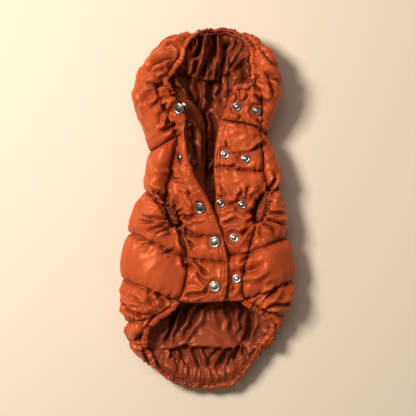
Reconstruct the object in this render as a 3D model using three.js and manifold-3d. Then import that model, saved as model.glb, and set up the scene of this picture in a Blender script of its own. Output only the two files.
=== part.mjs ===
// Padded winter coat for a small dog, lying open on its back, in millimetres.
// +X runs across the coat, +Y from tail to collar and +Z up from the surface it lies on.
import * as THREE from 'three';
import { mergeVertices } from 'three/addons/utils/BufferGeometryUtils.js';
import Module from 'manifold-3d';

const wasm = await Module();
wasm.setup();

// Driving sizes of the padded shell
const WALL = 7.5;
const WALL_AT_ELASTIC = 4.5;
const WALL_AT_NECK = 5;
const QUILT_DEPTH = 4.2;
const QUILT_REACH = 15;
const SEAM_DEPTH = 3.2;
const SEAM_REACH = 9;
const SEAM_GAP = 0.3;
const CREST_SHARE = 0.52;

// Folds at the gathered edges: depth, folds from one table step to the next round the coat,
// the level where they start and the steps that they take to their full depth
const COLLAR_FOLDS = { depth: 2.2, perStation: 1.5, start: 9.4, reach: 1.6 };
const RIM_FOLDS = { depth: 2.2, perStation: 1.5, reach: 0.9 };

// Linings, elastic casings and leg holes
const LINING_THICKNESS = 1.2;
const LINING_CLEARANCE = 0.8;
const LIP_TURN = 7;
const LIP_DROP = 9;
const COLLAR_LINING_START = 10.85;
const COLLAR_LINING_SLACK = 0.7;
const FRONT_LINING_START = 0.06;
const FRONT_LINING_TURN = 0.3;
const FRONT_LINING_SLACK = 0.9;
const COLLAR_BAND = { reach: 3.4, height: 2.8, gathers: 46, wave: 0.8 };
const HEM_BAND = { reach: 3.6, height: 3.0, gathers: 44, wave: 0.9 };
const CUFF = { reach: 2.6, height: 4.6, gathers: 14, wave: 0.7, rippleInside: true };
const LEG_HOLES = {
  left: { x: -41, y: -10, long: 17.5, wide: 9.5, turn: 30, z: 40 },
  right: { x: 62, y: -1, long: 21, wide: 11, turn: -20, z: 42 },
};
const LEG_CUT = { below: 15.3, above: 18.7 };

// Snap fasteners
const CAP = { radius: 6.2, height: 2.4 };
const SOCKET = { radius: 5.2, height: 2.0 };
const STUD = { radius: 4.9, height: 3.4, dome: 2.2 };
const SEAT_GAP = 0.3;
const SEAT_DEPTH = 5;
const SNAP_PRESS = 0.8;

// Colours
const SHELL_COLOR = 0xc2592c;
const LINING_COLOR = 0x9c4426;
const BAND_COLOR = 0xa84a26;
const METAL_COLOR = 0xc9c4bd;

// The coat is one surface over cross sections. Each table has a row for each section from the
// tail's rim to the collar's edge, with a place on the left and on the right as [x, y, z].
// Front edges, which start at the belly hem
const FRONTS = [
  { at: 'hem', left: [17, -110, 52], right: [-4, -110, 36] },
  { at: 'belly', left: [23, -65, 52], right: [-2, -58, 36] },
  { at: 'cap4', left: [17, -36, 51], right: [0, -29, 37] },
  { at: 'cap3', left: [0, 6, 54], right: [9, 6, 42] },
  { at: 'chest', left: [-23, 43, 60], right: [7, 48, 45] },
  { at: 'neck', left: [-33, 89, 62], right: [16, 104, 47] },
  { at: 'wide', left: [-31, 114, 62], right: [23, 121, 50] },
  { at: 'crest', left: [-37, 126, 61], right: [28, 133, 52] },
  { at: 'elastic', left: [-43, 133, 57], right: [30, 139, 50] },
];

// Seams between the belly panels and the back panel, which are the rim itself round the tail
const SEAMS = [
  { at: 'rim', left: [-77, -172, 26], right: [72, -157, 24] },
  { at: 'tail', left: [-77, -156, 33], right: [77, -143, 28] },
  { at: 'low', left: [-64, -131, 41], right: [70, -125, 37] },
  { at: 'hem', left: [-36, -110, 45], right: [44, -109, 45] },
  { at: 'belly', left: [-25, -58, 44], right: [47, -52, 45] },
  { at: 'cap4', left: [-32, -29, 42], right: [55, -24, 43] },
  { at: 'cap3', left: [-50, 6, 40], right: [70, 20, 43] },
  { at: 'chest', left: [-44, 43, 37], right: [67, 44, 45] },
  { at: 'neck', left: [-38, 84, 41], right: [63, 93, 43] },
  { at: 'wide', left: [-48, 114, 53], right: [64, 121, 50] },
  { at: 'crest', left: [-59, 141, 57], right: [61, 137, 53] },
  { at: 'elastic', left: [-50, 151, 54], right: [54, 145, 50] },
];

// Outermost places of the two sides, and the height of the roll between side and seam
const SIDES = [
  { at: 'rim', left: [-65, -190, 18], right: [61, -175, 19], crest: [22, 22] },
  { at: 'tail', left: [-97, -160, 20], right: [84, -152, 18], crest: [33, 28] },
  { at: 'low', left: [-100, -136, 23], right: [94, -130, 22], crest: [42, 38] },
  { at: 'hem', left: [-104, -83, 25], right: [103, -85, 25], crest: [49, 48] },
  { at: 'belly', left: [-96, -28, 25], right: [97, -34, 25], crest: [50, 49] },
  { at: 'cap4', left: [-88, -2, 25], right: [92, -5, 25], crest: [49, 45] },
  { at: 'cap3', left: [-79, 22, 25], right: [88, 22, 25], crest: [47, 41] },
  { at: 'chest', left: [-75, 43, 25], right: [86, 48, 25], crest: [47, 41] },
  { at: 'neck', left: [-71, 66, 24], right: [74, 85, 22], crest: [42, 36] },
  { at: 'wide', left: [-89, 137, 27], right: [88, 144, 26], crest: [52, 50] },
  { at: 'crest', left: [-66, 177, 40], right: [73, 181, 38], crest: [56, 54] },
  { at: 'elastic', left: [-34, 182, 44], right: [53, 193, 40], crest: [50, 47] },
];

// The back, which lies on the surface
const BACKS = [
  { at: 'rim', left: [-38, -203, 14], spine: [8, -211, 12], right: [38, -199, 14] },
  { at: 'tail', left: [-50, -172, 0], spine: [0, -172, 0], right: [46, -170, 0] },
  { at: 'low', left: [-52, -136, 0], spine: [0, -136, 0], right: [50, -134, 0] },
  { at: 'hem', left: [-54, -86, 0], spine: [0, -87, 0], right: [54, -86, 0] },
  { at: 'belly', left: [-50, -32, 0], spine: [0, -34, 0], right: [52, -34, 0] },
  { at: 'cap4', left: [-46, -3, 0], spine: [1, -3, 0], right: [48, -4, 0] },
  { at: 'cap3', left: [-41, 23, 0], spine: [2, 24, 0], right: [46, 22, 0] },
  { at: 'chest', left: [-38, 46, 0], spine: [2, 50, 0], right: [44, 49, 0] },
  { at: 'neck', left: [-36, 78, 0], spine: [0, 88, 0], right: [36, 86, 0] },
  { at: 'wide', left: [-48, 141, 0], spine: [0, 144, 0], right: [48, 144, 0] },
  { at: 'crest', left: [-40, 206, 20], spine: [2, 203, 8], right: [46, 207, 20] },
  { at: 'elastic', left: [-20, 206, 36], spine: [4, 211, 26], right: [30, 211, 30] },
];

// Rows of the tables by name: a level is a place along the coat, a station one around it
const LEVEL = Object.fromEntries(BACKS.map((row, index) => [row.at, index]));
const STATIONS = ['frontLeft', 'seamLeft', 'crestLeft', 'sideLeft', 'backLeft', 'spine',
  'backRight', 'sideRight', 'crestRight', 'seamRight', 'frontRight'];
const STATION = Object.fromEntries(STATIONS.map((name, index) => [name, index]));

// Quilt lines of the back and of the belly panels, by level
const BACK_QUILTS = [LEVEL.tail, LEVEL.low, LEVEL.hem, LEVEL.belly, LEVEL.cap3];
const BELLY_QUILTS = [LEVEL.belly, LEVEL.cap4, LEVEL.cap3, LEVEL.chest];

// Fractions of one step of the tables at which the grid has a line
const FINE = [0, 0.17, 0.5, 0.83];
const COARSE = [0, 0.3, 0.7];
const BAND_STEPS = [0, 0.2, 0.4, 0.6, 0.8];
const EDGE_INSET = 0.3;

// Lip of the collar's lining, where it turns under, by station round the collar's edge
const COLLAR_LIP = [
  { station: 0, lip: [-22, 127, 35], bulge: 0 },
  { station: 1, lip: [-34, 149, 34], bulge: 1 },
  { station: 2, lip: [-37, 160, 31], bulge: 2 },
  { station: 3, lip: [-28, 162, 29], bulge: 2 },
  { station: 4, lip: [-18, 157, 29], bulge: 6 },
  { station: 5, lip: [1, 152, 31], bulge: 8 },
  { station: 6, lip: [12, 155, 31], bulge: 7 },
  { station: 7, lip: [17, 158, 30], bulge: 3 },
  { station: 8, lip: [17, 142, 27], bulge: 3 },
  { station: 9, lip: [17, 127, 27], bulge: 2 },
  { station: 10, lip: [17, 116, 30], bulge: 0 },
];

// Lip of the raised left front's lining, by level along the front edge
const FRONT_LIP = [
  { level: 9.9, lip: [-14, 119, 29] },
  { level: 9, lip: [-6, 106, 24] },
  { level: 8, lip: [-4, 82, 22] },
  { level: 7.4, lip: [-4, 60, 23] },
  { level: 7, lip: [-4, 46, 26] },
  { level: 6.5, lip: [-4, 26, 32] },
  { level: 6.2, lip: [-1, 14, 38] },
];

// Snaps: the caps' places on the left front and the studs' on the right one, as [x, y]
const CAPS = [[-34, 116], [-33, 59], [-9, 0], [8, -40], [8, -92]];
const STUDS_INNER = [[34, 119], [20, 63], [15, 6], [8, -40], [8, -92]];
const STUDS_OUTER = [[57, 114], [44, 58], [40, 4], [31, -35], [34, -83]];
// The front stands up at the first snaps from the collar, so their caps have backs inside it;
// the lining of the left front reaches fewer of them
const RAISED_SNAPS = 3;
const LINED_SNAPS = 2;

// Direction of the smooth curve at one of its points, from the chords on both sides
function slopeAt(points, index) {
  const here = points[index];
  const chordTo = (other, sign) => {
    const chord = other.map((value, axis) => sign * (value - here[axis]));
    const length = Math.hypot(...chord) || 1;
    return { length, unit: chord.map((value) => value / length) };
  };
  const before = index > 0 ? chordTo(points[index - 1], -1) : null;
  const after = index + 1 < points.length ? chordTo(points[index + 1], 1) : null;
  if (!before) return after.unit;
  if (!after) return before.unit;
  const share = before.length / (before.length + after.length);
  return mix(before.unit, after.unit, share);
}

// A smooth curve through the points, at a place counted in points
function curveAt(points, place) {
  const index = Math.min(Math.max(Math.floor(place), 0), points.length - 2);
  const t = place - index;
  const start = points[index];
  const end = points[index + 1];
  const length = Math.hypot(...end.map((value, axis) => value - start[axis]));
  const slopes = [slopeAt(points, index), slopeAt(points, index + 1)];
  const h = t * t * (3 - 2 * t);
  return start.map((value, axis) => value + (end[axis] - value) * h
    + length * t * (1 - t) * ((1 - t) * slopes[0][axis] - t * slopes[1][axis]));
}

function mix(a, b, share) {
  return a.map((value, axis) => value + (b[axis] - value) * share);
}

// Places of all stations at one level; below the hem the front edges only carry on the curve
function stationsAt(level) {
  const seam = SEAMS[level];
  const side = SIDES[level];
  const back = BACKS[level];
  const front = FRONTS.find((row) => row.at === seam.at);
  const crests = ['left', 'right'].map((hand, index) => {
    const [x, y] = mix(seam[hand], side[hand], CREST_SHARE);
    return [x, y, side.crest[index]];
  });
  const around = [seam.left, crests[0], side.left, back.left, back.spine, back.right,
    side.right, crests[1], seam.right];
  const left = front ? front.left : mix(seam.left, crests[0], -1);
  const right = front ? front.right : mix(seam.right, crests[1], -1);
  return [left, ...around, right];
}

const NET = BACKS.map((row, level) => stationsAt(level));
const ALONG = STATIONS.map((name, station) => NET.map((around) => around[station]));

// The outer surface of the filled coat
function surfaceAt(station, level) {
  const around = ALONG.map((points) => curveAt(points, level));
  return new THREE.Vector3(...curveAt(around, station));
}

// Its outward normal, from the directions round and along the coat
function normalAt(station, level) {
  const step = 0.02;
  const round = surfaceAt(station + step, level).sub(surfaceAt(station - step, level));
  const along = surfaceAt(station, level + step).sub(surfaceAt(station, level - step));
  return along.cross(round).normalize();
}

// Share of a pillow's full height at a distance from the line that holds it down
function pillow(distance, reach) {
  const inward = 1 - Math.min(distance / reach, 1);
  return Math.sqrt(1 - inward * inward);
}

// Distance in millimetres from a line of the net, from a distance in table steps
function stepsToLength(station, level, along) {
  const step = 0.25;
  const near = along ? surfaceAt(station, level - step) : surfaceAt(station - step, level);
  const far = along ? surfaceAt(station, level + step) : surfaceAt(station + step, level);
  return near.distanceTo(far) / (2 * step);
}

// How far the cloth lies below the filled surface at quilt lines and panel seams
function sinkAt(station, level, panel) {
  const lengthAlong = stepsToLength(station, level, true);
  const lengthRound = stepsToLength(station, level, false);
  const quilts = panel.quilts.map((line) => Math.abs(level - line) * lengthAlong);
  const seamsAlong = panel.ends.map((line) => Math.abs(level - line) * lengthAlong);
  const seamsRound = panel.sides.map((line) => Math.abs(station - line) * lengthRound);
  const quilt = pillow(Math.min(...quilts, Infinity), QUILT_REACH);
  const seam = pillow(Math.min(...seamsAlong, ...seamsRound), SEAM_REACH);
  return QUILT_DEPTH * (1 - quilt) + SEAM_DEPTH * (1 - seam) * quilt;
}

// Soft folds that run away from the gathered edges
function foldAt(station, level) {
  const wave = (folds) => folds.depth * (0.5 - 0.5 * Math.cos(2 * Math.PI * station * folds.perStation));
  const nearCollar = THREE.MathUtils.clamp((level - COLLAR_FOLDS.start) / COLLAR_FOLDS.reach, 0, 1);
  const nearRim = Math.max(0, 1 - level / RIM_FOLDS.reach);
  return wave(COLLAR_FOLDS) * nearCollar + wave(RIM_FOLDS) * nearRim;
}

// The wall thins towards the gathered edges
function wallAt(level, station) {
  const toCollar = Math.max(0, (level - LEVEL.crest) / (LEVEL.elastic - LEVEL.crest));
  const toRim = Math.max(0, 1 - level);
  const besideSeam = Math.min(Math.abs(station - STATION.seamLeft), Math.abs(station - STATION.seamRight));
  const toSideRim = level < LEVEL.hem ? Math.max(0, 1 - besideSeam / 0.6) : 0;
  const toEdge = Math.max(toCollar, toRim, toSideRim);
  const toNeck = Math.max(0, 1 - Math.abs(level - LEVEL.neck) / 0.7);
  return WALL + (WALL_AT_ELASTIC - WALL) * toEdge + (WALL_AT_NECK - WALL) * toNeck;
}

// Grid lines from one table row to another
function gridLines(from, to, fractions) {
  const lines = [];
  for (let row = from; row < to; row += 1) {
    for (const fraction of fractions) {
      lines.push(row + fraction);
    }
  }
  lines.push(to);
  return lines;
}

// Joins a skin of outer and inner points, both as rows of equal length, into a closed body
function closedSheet(outer, inner) {
  const rows = outer.length;
  const columns = outer[0].length;
  const positions = [];
  for (const skin of [outer, inner]) {
    for (const row of skin) {
      for (const point of row) {
        positions.push(point.x, point.y, point.z);
      }
    }
  }
  const top = (row, column) => row * columns + column;
  const under = (row, column) => rows * columns + row * columns + column;
  const triangles = [];
  const quad = (a, b, c, d) => triangles.push(a, b, c, a, c, d);
  for (let row = 0; row + 1 < rows; row += 1) {
    for (let column = 0; column + 1 < columns; column += 1) {
      quad(top(row, column), top(row + 1, column), top(row + 1, column + 1), top(row, column + 1));
      quad(under(row, column), under(row, column + 1), under(row + 1, column + 1), under(row + 1, column));
    }
    quad(top(row, 0), under(row, 0), under(row + 1, 0), top(row + 1, 0));
    quad(top(row, columns - 1), top(row + 1, columns - 1), under(row + 1, columns - 1), under(row, columns - 1));
  }
  for (let column = 0; column + 1 < columns; column += 1) {
    quad(top(0, column + 1), under(0, column + 1), under(0, column), top(0, column));
    quad(top(rows - 1, column + 1), top(rows - 1, column), under(rows - 1, column), under(rows - 1, column + 1));
  }
  return geometryOf(positions, triangles);
}

function geometryOf(positions, triangles) {
  const geometry = new THREE.BufferGeometry();
  geometry.setAttribute('position', new THREE.Float32BufferAttribute(positions, 3));
  geometry.setIndex(triangles);
  return geometry;
}

// Draws the outer lines of a grid inwards, so that neighbouring pieces stay apart at their seam
function shrinkBorder(rows, inset) {
  const last = rows.length - 1;
  const end = rows[0].length - 1;
  const pull = (point, neighbour) => {
    const toward = neighbour.clone().sub(point).setLength(inset);
    return point.clone().add(toward);
  };
  const narrowed = rows.map((row) => row.map((point, column) => {
    if (column === 0) return pull(point, row[1]);
    if (column === end) return pull(point, row[end - 1]);
    return point;
  }));
  return narrowed.map((row, index) => row.map((point, column) => {
    if (index === 0) return pull(point, rows[1][column]);
    if (index === last) return pull(point, rows[last - 1][column]);
    return point;
  }));
}

// One padded panel between two stations and two levels
function paddedPanel(panel) {
  const stations = gridLines(panel.sides[0], panel.sides[1], panel.columns);
  const levels = gridLines(panel.ends[0], panel.ends[1], panel.rows);
  const inner = levels.map((level) => stations.map((station) => surfaceAt(station, level)
    .addScaledVector(normalAt(station, level), -wallAt(level, station))));
  const outer = levels.map((level) => stations.map((station) => {
    const sink = sinkAt(station, level, panel) + foldAt(station, level);
    const most = wallAt(level, station) - 2;
    const point = surfaceAt(station, level).addScaledVector(normalAt(station, level), -Math.min(sink, most));
    point.z = Math.max(point.z, 0);
    return point;
  }));
  const inset = SEAM_GAP / 2;
  return closedSheet(shrinkBorder(outer, inset), shrinkBorder(inner, inset));
}

// A solid of a closed mesh, for cuts
function solidOf(geometry) {
  const bare = geometry.clone();
  bare.deleteAttribute('normal');
  bare.deleteAttribute('uv');
  const merged = mergeVertices(bare, 1e-4);
  return new wasm.Manifold(new wasm.Mesh({
    numProp: 3,
    vertProperties: new Float32Array(merged.attributes.position.array),
    triVerts: new Uint32Array(merged.index.array),
  }));
}

function geometryFrom(solid) {
  const mesh = solid.getMesh();
  return geometryOf(Array.from(mesh.vertProperties), Array.from(mesh.triVerts));
}

// The oval prism that a leg hole takes out of the panels
function legCutter(hole) {
  const oval = new THREE.Shape();
  oval.absellipse(0, 0, hole.wide, hole.long, 0, 2 * Math.PI);
  const depth = LEG_CUT.below + LEG_CUT.above;
  const geometry = new THREE.ExtrudeGeometry(oval, { depth, bevelEnabled: false, curveSegments: 7 });
  geometry.rotateZ(THREE.MathUtils.degToRad(hole.turn));
  geometry.translate(hole.x, hole.y, hole.z - LEG_CUT.below);
  return solidOf(geometry);
}

// A gathered casing along a path: each place has a point, an outward side and a normal
function gatheredBand(places, band, closed) {
  const corners = 6;
  const positions = [];
  const triangles = [];
  places.forEach((place, index) => {
    const turn = index / (places.length - (closed ? 0 : 1));
    const ripple = band.wave * Math.cos(2 * Math.PI * band.gathers * turn);
    for (let corner = 0; corner < corners; corner += 1) {
      const angle = (2 * Math.PI * (corner + 0.5)) / corners;
      const outerSide = band.rippleInside ? -1 : 1;
      const swell = Math.cos(angle) * outerSide > 0 ? ripple : 0;
      const reach = (band.reach + swell) * Math.cos(angle);
      const height = (band.height + ripple) * Math.sin(angle);
      const point = place.point.clone()
        .addScaledVector(place.out, reach)
        .addScaledVector(place.normal, height);
      positions.push(point.x, point.y, Math.max(point.z, 0));
    }
  });
  const count = places.length;
  const spans = closed ? count : count - 1;
  const at = (index, corner) => (index % count) * corners + (corner % corners);
  for (let index = 0; index < spans; index += 1) {
    for (let corner = 0; corner < corners; corner += 1) {
      triangles.push(at(index, corner), at(index, corner + 1), at(index + 1, corner + 1));
      triangles.push(at(index, corner), at(index + 1, corner + 1), at(index + 1, corner));
    }
  }
  if (!closed) {
    for (let corner = 1; corner + 1 < corners; corner += 1) {
      triangles.push(at(0, 0), at(0, corner + 1), at(0, corner));
      triangles.push(at(count - 1, 0), at(count - 1, corner), at(count - 1, corner + 1));
    }
  }
  return facingOut(geometryOf(positions, triangles));
}

// Turns a closed mesh's faces outwards where its path ran the other way
function facingOut(geometry) {
  const { array } = geometry.attributes.position;
  const index = geometry.index.array;
  const corner = (which) => new THREE.Vector3().fromArray(array, index[which] * 3);
  let volume = 0;
  for (let face = 0; face < index.length; face += 3) {
    volume += corner(face).dot(corner(face + 1).cross(corner(face + 2)));
  }
  if (volume < 0) {
    for (let face = 0; face < index.length; face += 3) {
      [index[face + 1], index[face + 2]] = [index[face + 2], index[face + 1]];
    }
  }
  return geometry;
}

// Evenly spaced places along a path on the coat, given as [station, level] pairs
function evenPlaces(path, count) {
  const points = path.map(([station, level]) => surfaceAt(station, level));
  const lengths = [0];
  for (let index = 1; index < points.length; index += 1) {
    lengths.push(lengths[index - 1] + points[index].distanceTo(points[index - 1]));
  }
  const total = lengths[lengths.length - 1];
  const places = [];
  for (let step = 0; step < count; step += 1) {
    const goal = (total * step) / (count - 1);
    const index = Math.min(Math.max(lengths.findIndex((length) => length >= goal), 1), points.length - 1);
    const share = (goal - lengths[index - 1]) / (lengths[index] - lengths[index - 1]);
    places.push(mix(path[index - 1], path[index], share));
  }
  return places;
}

// A place a little inside the coat's edges, where the surface's normal is steady
function inward(station, level) {
  const low = level < LEVEL.hem ? STATION.seamLeft : STATION.frontLeft;
  const high = level < LEVEL.hem ? STATION.seamRight : STATION.frontRight;
  return [
    THREE.MathUtils.clamp(station, low + EDGE_INSET, high - EDGE_INSET),
    THREE.MathUtils.clamp(level, EDGE_INSET, LEVEL.elastic - EDGE_INSET),
  ];
}

// Casing along an edge of the coat, lying just off the wall's own edge on the side given
function edgeBand(path, band, side, spare = 0) {
  const even = evenPlaces(path, band.gathers * 2 + 1);
  const offset = band.reach + SEAM_GAP;
  const points = even.map(([station, level]) => surfaceAt(station, level));
  const places = even.map(([station, level], index) => {
    const before = points[Math.max(index - 1, 0)];
    const after = points[Math.min(index + 1, points.length - 1)];
    const normal = normalAt(...inward(station, level));
    const out = normal.clone().cross(after.clone().sub(before)).multiplyScalar(side).normalize();
    const point = points[index].clone()
      .addScaledVector(normal, -WALL_AT_ELASTIC / 2)
      .addScaledVector(out, offset);
    return { point, out, normal };
  });
  const size = { ...band, reach: band.reach + spare, height: band.height + spare };
  return gatheredBand(places, size, false);
}

function collarBand() {
  const path = gridLines(STATION.frontLeft, STATION.frontRight, BAND_STEPS)
    .map((station) => [station, LEVEL.elastic]);
  return edgeBand(path, COLLAR_BAND, -1);
}

// The tail's casing runs down one seam, round the rim and up the other seam
function hemBand(spare = 0) {
  const down = gridLines(0, LEVEL.hem, BAND_STEPS).reverse().map((level) => [STATION.seamLeft, level]);
  const round = gridLines(STATION.seamLeft, STATION.seamRight, BAND_STEPS).map((station) => [station, 0]);
  const up = gridLines(0, LEVEL.hem, BAND_STEPS).map((level) => [STATION.seamRight, level]);
  return edgeBand([...down.slice(1), ...round.slice(1, -1), ...up.slice(0, -1)], HEM_BAND, 1, spare);
}

function legCuff(hole) {
  const count = CUFF.gathers * 2;
  const inset = CUFF.reach + SEAM_GAP;
  const turn = THREE.MathUtils.degToRad(hole.turn);
  const places = [];
  for (let step = 0; step < count; step += 1) {
    const angle = (2 * Math.PI * step) / count;
    const out = new THREE.Vector3(Math.cos(angle), Math.sin(angle), 0);
    const point = new THREE.Vector3(
      (hole.wide - inset) * Math.cos(angle),
      (hole.long - inset) * Math.sin(angle),
      0,
    );
    const up = new THREE.Vector3(0, 0, 1);
    point.applyAxisAngle(up, turn).add(new THREE.Vector3(hole.x, hole.y, hole.z));
    places.push({ point, out: out.applyAxisAngle(up, turn), normal: up });
  }
  return gatheredBand(places, CUFF, true);
}

// Depth below the outer surface at which a lining clears the wall and an elastic casing
function liningDepth(level, station, band) {
  const belowBand = WALL_AT_ELASTIC / 2 + band.height + band.wave + LINING_CLEARANCE;
  return Math.max(wallAt(level, station) + LINING_CLEARANCE, belowBand);
}

// Lining of the back, under the padded wall's plain inside
function backLining() {
  const edge = 0.14;
  const stations = [
    STATION.seamLeft + edge,
    ...gridLines(STATION.seamLeft, STATION.backLeft, COARSE).slice(1, -1),
    ...gridLines(STATION.backLeft, STATION.backRight, [0, 0.5]).slice(0, -1),
    ...gridLines(STATION.backRight, STATION.seamRight, COARSE).slice(0, -1),
    STATION.seamRight - edge,
  ];
  const levels = [
    ...gridLines(0, LEVEL.chest, [0, 0.5]).map((level) => Math.max(level, 0.15)).slice(0, -1),
    ...gridLines(LEVEL.chest, LEVEL.neck, FINE).slice(0, -1),
    ...gridLines(LEVEL.neck, LEVEL.wide, COARSE),
  ];
  const skin = (extra) => levels.map((level) => stations.map((station) => surfaceAt(station, level)
    .addScaledVector(normalAt(station, level), -liningDepth(level, station, HEM_BAND) - extra)));
  return closedSheet(skin(0), skin(LINING_THICKNESS));
}

// A lining that hangs from an edge, passes a middle place, comes to a lip and turns under
function lipLining(rows) {
  const across = [0, 0.4, 0.8, 1.2, 1.6, 2, 2.35, 2.7, 3];
  const middle = rows.map(({ edge, centre, lip }) => {
    const back = edge.clone().sub(lip).setZ(0).setLength(LIP_TURN);
    const under = lip.clone().add(back);
    under.z -= LIP_DROP;
    const curve = [edge, centre, lip, under].map((point) => point.toArray());
    return across.map((place) => new THREE.Vector3(...curveAt(curve, place)));
  });
  const thick = middle.map((row, index) => row.map((point, column) => {
    const before = middle[Math.max(index - 1, 0)][column];
    const after = middle[Math.min(index + 1, middle.length - 1)][column];
    const left = row[Math.max(column - 1, 0)];
    const right = row[Math.min(column + 1, row.length - 1)];
    const normal = after.clone().sub(before).cross(right.clone().sub(left)).normalize();
    return point.clone().addScaledVector(normal, LINING_THICKNESS);
  }));
  return facingOut(closedSheet(middle, thick));
}

// A place on the inside of the wall, clear of it, where a lining is sewn on
function insideAt(station, level, slack = 0) {
  const depth = liningDepth(level, station, COLLAR_BAND) + slack;
  return surfaceAt(station, level).addScaledVector(normalAt(station, level), -depth);
}

function collarLining() {
  const lips = COLLAR_LIP.map((row) => [...row.lip, row.bulge]);
  const stations = gridLines(0, STATION.frontRight, [0, 0.34, 0.67]).slice(1);
  return lipLining(stations.map((station) => {
    const [x, y, z, bulge] = curveAt(lips, station);
    const lip = new THREE.Vector3(x, y, z);
    const edge = insideAt(station, COLLAR_LINING_START, COLLAR_LINING_SLACK);
    const centre = edge.clone().lerp(lip, 0.5);
    centre.z += bulge;
    return { edge, centre, lip };
  }));
}

// Near the edge this lining follows the raised wall, and below that it swells into the opening
function frontLining() {
  const lips = FRONT_LIP.map((row) => [...row.lip, row.level]);
  const places = gridLines(0, lips.length - 1, [0, 0.5]);
  return lipLining(places.map((place) => {
    const [x, y, z, level] = curveAt(lips, place);
    return {
      edge: insideAt(FRONT_LINING_START, level, FRONT_LINING_SLACK),
      centre: insideAt(FRONT_LINING_TURN, level, FRONT_LINING_SLACK),
      lip: new THREE.Vector3(x, y, z),
    };
  }));
}

// The place on a front panel above a point of the plan, found by stepping towards it
function placeAbove([x, y], low, high) {
  let station = (low + high) / 2;
  let level = 6;
  for (let round = 0; round < 40; round += 1) {
    const here = surfaceAt(station, level);
    const step = 0.01;
    const byStation = surfaceAt(station + step, level).sub(here).divideScalar(step);
    const byLevel = surfaceAt(station, level + step).sub(here).divideScalar(step);
    const area = byStation.x * byLevel.y - byStation.y * byLevel.x;
    const dx = x - here.x;
    const dy = y - here.y;
    station = THREE.MathUtils.clamp(station + 0.7 * (dx * byLevel.y - dy * byLevel.x) / area, low, high);
    level = THREE.MathUtils.clamp(level + 0.7 * (dy * byStation.x - dx * byStation.y) / area, 3, 11);
  }
  return { station, level };
}

// Turned profiles of the snaps, from the axis outwards and back, standing on z = 0
const CAP_PROFILE = [[0, 0], [CAP.radius, 0], [CAP.radius, 0.9], [CAP.radius - 1.1, 1.7], [0, CAP.height]];
const SOCKET_PROFILE = [[0, 0], [SOCKET.radius, 0], [SOCKET.radius - 0.5, SOCKET.height],
  [SOCKET.radius - 2, SOCKET.height], [SOCKET.radius - 2.6, 0.8], [0, 0.8]];
const STUD_PROFILE = [[0, 0], [STUD.radius, 0], [STUD.radius - 0.4, 1], [STUD.dome, 1],
  [STUD.dome, STUD.height - 0.6], [STUD.dome - 0.8, STUD.height], [0, STUD.height]];

function turned(profile, point, normal) {
  const points = profile.map(([radius, height]) => new THREE.Vector2(radius, height));
  const geometry = new THREE.LatheGeometry(points, 12);
  geometry.deleteAttribute('normal');
  geometry.deleteAttribute('uv');
  const merged = mergeVertices(geometry, 1e-4);
  const turn = new THREE.Quaternion().setFromUnitVectors(new THREE.Vector3(0, 1, 0), normal);
  merged.applyQuaternion(turn);
  merged.translate(point.x, point.y, point.z);
  return facingOut(merged);
}

// A snap part on a panel's outside, with the seat that it presses into the cloth round it
function snapOutside(profile, place, panel) {
  const normal = normalAt(place.station, place.level);
  const sink = Math.min(sinkAt(place.station, place.level, panel), WALL - 2);
  const point = surfaceAt(place.station, place.level).addScaledVector(normal, -sink * SNAP_PRESS);
  return snapAt(profile, point, normal);
}

// The back of a snap, on the inside of the left front or on its lining
function snapInside(profile, place, lined) {
  const normal = normalAt(place.station, place.level);
  const depth = WALL + (lined ? LINING_CLEARANCE + LINING_THICKNESS : 0);
  const point = surfaceAt(place.station, place.level).addScaledVector(normal, -depth);
  return snapAt(profile, point, normal.negate());
}

function snapAt(profile, point, normal) {
  const radius = Math.max(...profile.map(([reach]) => reach)) + SEAT_GAP + 0.1;
  const seat = turned([[0, 0], [radius, 0], [radius, SEAT_DEPTH], [0, SEAT_DEPTH]], point, normal);
  const raised = point.clone().addScaledVector(normal, SEAT_GAP);
  return { geometry: turned(profile, raised, normal), seat: solidOf(seat) };
}

function materialOf(color, metalness, roughness) {
  return new THREE.MeshStandardMaterial({ color, metalness, roughness });
}

const group = new THREE.Group();

function addPiece(name, geometry, color, metalness = 0, roughness = 0.5) {
  const mesh = new THREE.Mesh(geometry, materialOf(color, metalness, roughness));
  mesh.name = name;
  group.add(mesh);
}

const CHEST_LEFT = {
  sides: [STATION.frontLeft, STATION.seamLeft],
  ends: [LEVEL.hem, LEVEL.neck],
  quilts: BELLY_QUILTS,
  columns: [0, 0.15, 0.38, 0.62, 0.85],
  rows: FINE,
};
const CHEST_RIGHT = { ...CHEST_LEFT, sides: [STATION.seamRight, STATION.frontRight] };
const BACK = {
  sides: [STATION.seamLeft, STATION.seamRight],
  ends: [LEVEL.rim, LEVEL.neck],
  quilts: BACK_QUILTS,
  columns: COARSE,
  rows: FINE,
};
const COLLAR_LEFT = { ...CHEST_LEFT, ends: [LEVEL.neck, LEVEL.elastic], quilts: [], rows: COARSE };
const COLLAR_RIGHT = { ...COLLAR_LEFT, sides: CHEST_RIGHT.sides };
const COLLAR_BACK = { ...COLLAR_LEFT, sides: BACK.sides, columns: COARSE };

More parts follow.
